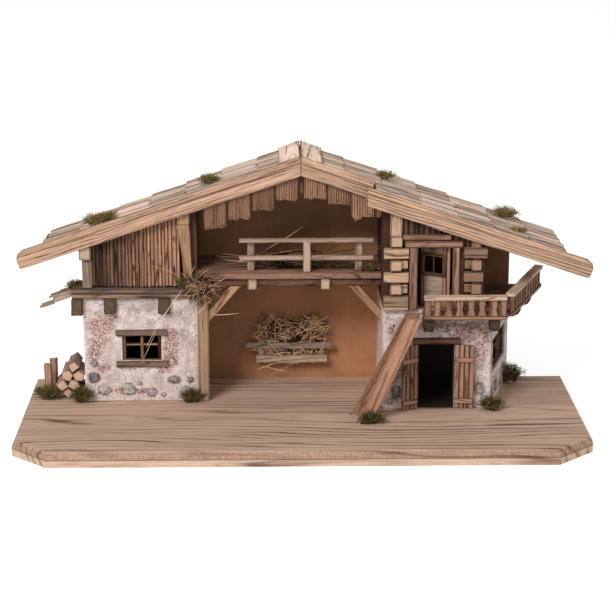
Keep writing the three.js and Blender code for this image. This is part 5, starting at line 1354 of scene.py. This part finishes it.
class StableHay(StableOperator, bpy.types.Operator):
    """Hay in the rack and on the loft, straw at the post and loose straws"""
    bl_idname = "stable.hay"
    bl_label = "Hay and straw"

    def build(self, sizes):
        rng = np.random.default_rng(dice.randrange(1 << 20))
        pile = heap(RACK_HEAP, 137, 149, sizes.rack_straws, (9, 30), 0.75, 26, (0.25, 1.5))
        for points in RACK_STALKS:
            stalk(pile, *points)
        pile.finish("rack_straw", "straw", "rack_hay")
        pile = heap(LOFT_HEAP, 70, 102, sizes.loft_straws, (14, 34), 0.18, 30, (0.0, 0.45))
        for _ in range(95):
            x, z = rng.uniform(-72, 84), rng.uniform(188, 206)
            lean = rng.uniform(-1, 1) * (1.2 if rng.random() < 0.25 else 0.35)
            reach = rng.uniform(16, 40)
            foot = (x - reach, 76 + rng.uniform(-8, 14), z - 4 * lean)
            stalk(pile, foot, (x + reach, 80, min(z + reach * lean, 238)), thick=0.4, tint=rng.uniform(0.0, 0.7))
        pile.finish("loft_straw", "straw", "loft_hay")
        pile = heap(POST_HEAP, 40, 46, 190, (12, 34), 0.9, 4, (0, 0.82))
        for points in POST_STALKS:
            stalk(pile, *points, thick=0.5, tint=rng.uniform(0.8, 1))
        pile.finish("post_straw", "straw", "straw_tuft")


# Moss: middle, half sizes, number of blades and tone
TONES = {"wet": (0, 0.5), "green": (0, 0.72), "pale": (0.42, 1), "dry": (0.7, 1)}
MOSS = (
    ((-254, 80, 250), (19, 15, 10), 380, "dry"), ((-243, 74, 255), (12, 10, 10), 180, "pale"),
    ((-116, 95, 298), (13, 12, 8), 300, "pale"), ((108, 105, 300), (12, 12, 7), 280, "pale"),
    ((263, 116, 249), (16, 13, 10), 360, "pale"), ((268, 52, 240), (15, 9, 5), 200, "dry"),
    ((-286, 72, 166), (11, 10, 10), 260, "green"), ((88, 56, 191), (15, 6, 8), 230, "green"),
    ((-146, 45, 176), (9, 4, 10), 170, "green"), ((-321, 60, 27), (15, 9, 14), 380, "green"),
    ((-334, 78, 24), (8, 8, 8), 140, "green"), ((-279, 45, 29), (14, 8, 15), 420, "green"),
    ((-139, 45, 27), (14, 6, 12), 360, "green"), ((85, -46, 25), (15, 8, 12), 400, "wet"),
    ((239, 5, 27), (14, 7, 13), 380, "wet"), ((276, 122, 31), (17, 12, 18), 420, "green"),
)


class StableMoss(StableOperator, bpy.types.Operator):
    """Clumps of moss on the roof, the ledges and the ground"""
    bl_idname = "stable.moss"
    bl_label = "Moss"

    def build(self, sizes):
        pile = Pile()
        for middle, radii, blades, tone in MOSS:
            clump(pile, middle, radii, round(blades * sizes.moss), TONES[tone],
                  length=(4.5, 12.0) if middle[2] < 60 else (3.5, 9.0), floor=GROUND if middle[2] < 60 else None)
        pile.finish("moss_clumps", "moss", slot="hay")


class StableWood(StableOperator, bpy.types.Operator):
    """The stack of split logs with its stakes"""
    bl_idname = "stable.firewood"
    bl_label = "Firewood"

    def build(self, sizes):
        pile = Pile()
        radius = 7.8
        right = -275.3 - radius * 0.06
        for row, count in enumerate((2, 2, 2, 1)):
            for i in range(count):
                x = right - radius - i * radius * 1.9 - (radius * 0.9 if row % 2 else 0)
                z = GROUND + radius * 0.94 + row * radius * 1.5
                y = 58 + 3 * ((i + row) % 2)
                sides = dice.choice((4, 5, 5))
                turn = dice.uniform(0, 6)
                angles = [turn + 2 * math.pi * (k + dice.uniform(-0.16, 0.16)) / sides for k in range(sides)]
                corners = np.array([(math.cos(angle), math.sin(angle)) for angle in angles]) * radius
                corners *= np.array([[dice.uniform(0.94, 1.14)] for _ in angles]) * np.array([1.0, 1.08])
                corners[:, 0] = np.maximum(corners[:, 0], GROUND + 0.3 - z)
                corners[:, 1] = np.minimum(corners[:, 1], -275.2 - x)
                timber(pile, (x, y, z), (x, y + 46, z), 15, 15, corners=corners, relief=0.5, wear=0.5, fine=1.2,
                       fray=(1.0, 1.0), pitch=2.8, heart=(dice.uniform(4, 9), 4))
        pile.finish("split_logs", "firewood", "wood_stack")
        for node in ("front_stake", "rear_stake"):
            single(node, "z", "brown_log", node + "_wood", fray=(0, 3), relief=0.8, wear=1.2, tint=1.5)


# The stage, in metres, watts and degrees. The camera is the photo's, fitted to the corners of the board.
FLOOR_HALF, FLOOR_GREY, FLOOR_GLOW, WORLD_LIGHT = 9, 0.78, 0.64, 0.42
LAMPS = (("key lamp", (-1.3, -2.1, 2.1), (0, 0, 0.1), 1.0, 62), ("fill lamp", (2.0, -1.9, 1.2), (0, 0, 0.12), 1.8, 13))
CAMERA_LENS, CAMERA_SPOT, CAMERA_ANGLES = 112.46, (-0.0392, -2.3006, 0.7638), (75.164, 0, -1.173)


class StableStage(StableOperator, bpy.types.Operator):
    """Pale floor, soft lamps and the camera"""
    bl_idname = "stable.stage"
    bl_label = "Stage"

    def build(self, sizes):
        scene = bpy.context.scene
        mesh = bpy.data.meshes.new("floor")
        mesh.from_pydata([(-FLOOR_HALF, -FLOOR_HALF, 0), (FLOOR_HALF, -FLOOR_HALF, 0), (FLOOR_HALF, FLOOR_HALF, 0),
                          (-FLOOR_HALF, FLOOR_HALF, 0)], [], [(0, 1, 2, 3)])
        floor = bpy.data.objects.new("floor", mesh)
        scene.collection.objects.link(floor)
        s = Shader("pale floor")
        s.surface.inputs["Roughness"].default_value = 0.9
        s.surface.inputs["Base Color"].default_value = (FLOOR_GREY, FLOOR_GREY, FLOOR_GREY, 1)
        s.surface.inputs["Emission Color"].default_value = (1, 1, 1, 1)
        seen = s.add("ShaderNodeLightPath").outputs["Is Camera Ray"]
        glow = s.math("MULTIPLY", seen, FLOOR_GLOW)
        s.put(s.surface, {"Emission Strength": glow})
        mesh.materials.append(s.material)

        world = bpy.data.worlds.new("studio")
        world.use_nodes = True
        tree = world.node_tree
        back = tree.nodes["Background"]
        back.inputs["Color"].default_value = (1, 1, 1, 1)
        path = tree.nodes.new("ShaderNodeLightPath")
        level = tree.nodes.new("ShaderNodeMapRange")
        level.inputs["To Min"].default_value = WORLD_LIGHT
        level.inputs["To Max"].default_value = 1.0
        tree.links.new(path.outputs["Is Camera Ray"], level.inputs["Value"])
        tree.links.new(level.outputs["Result"], back.inputs["Strength"])
        scene.world = world

        for name, spot, aim, size, power in LAMPS:
            lamp = bpy.data.lights.new(name, "AREA")
            lamp.size = size
            lamp.energy = power
            holder = bpy.data.objects.new(name, lamp)
            holder.location = spot
            holder.rotation_euler = (Vector(aim) - Vector(spot)).to_track_quat("-Z", "Y").to_euler()
            scene.collection.objects.link(holder)

        camera = bpy.data.cameras.new("camera")
        camera.lens = CAMERA_LENS
        camera.sensor_width = 36
        holder = bpy.data.objects.new("camera", camera)
        holder.location = CAMERA_SPOT
        holder.rotation_euler = [math.radians(angle) for angle in CAMERA_ANGLES]
        scene.collection.objects.link(holder)
        scene.camera = holder
        scene.view_settings.view_transform = "Standard"


OPERATORS = (StableBoard, StableStoneHouse, StableLeftStorey, StableHall, StableRoof, StableDoors, StableLogHouse,
             StableBalcony, StableLadder, StableHay, StableMoss, StableWood, StableStage)


class StablePanel(bpy.types.Panel):
    """Sizes, colours and building steps of the stable"""
    bl_idname = "VIEW3D_PT_stable"
    bl_label = "Nativity stable"
    bl_space_type = "VIEW_3D"
    bl_region_type = "UI"
    bl_category = "Stable"

    def draw(self, context):
        for group in (context.scene.stable_sizes, context.scene.stable_colours):
            for key in group.bl_rna.properties.keys():
                if key not in ("rna_type", "name"):
                    self.layout.prop(group, key)
        for step in OPERATORS:
            self.layout.operator(step.bl_idname)


CLASSES = (StableColours, StableSizes, *OPERATORS, StablePanel)


def register():
    for cls in CLASSES:
        bpy.utils.register_class(cls)
    bpy.types.Scene.stable_colours = PointerProperty(type=StableColours)
    bpy.types.Scene.stable_sizes = PointerProperty(type=StableSizes)


def unregister():
    del bpy.types.Scene.stable_sizes
    del bpy.types.Scene.stable_colours
    for cls in reversed(CLASSES):
        bpy.utils.unregister_class(cls)


def main():
    register()
    for step in OPERATORS:
        group, _, name = step.bl_idname.partition(".")
        getattr(getattr(bpy.ops, group), name)()
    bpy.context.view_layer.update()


if __name__ == "__main__":
    main()
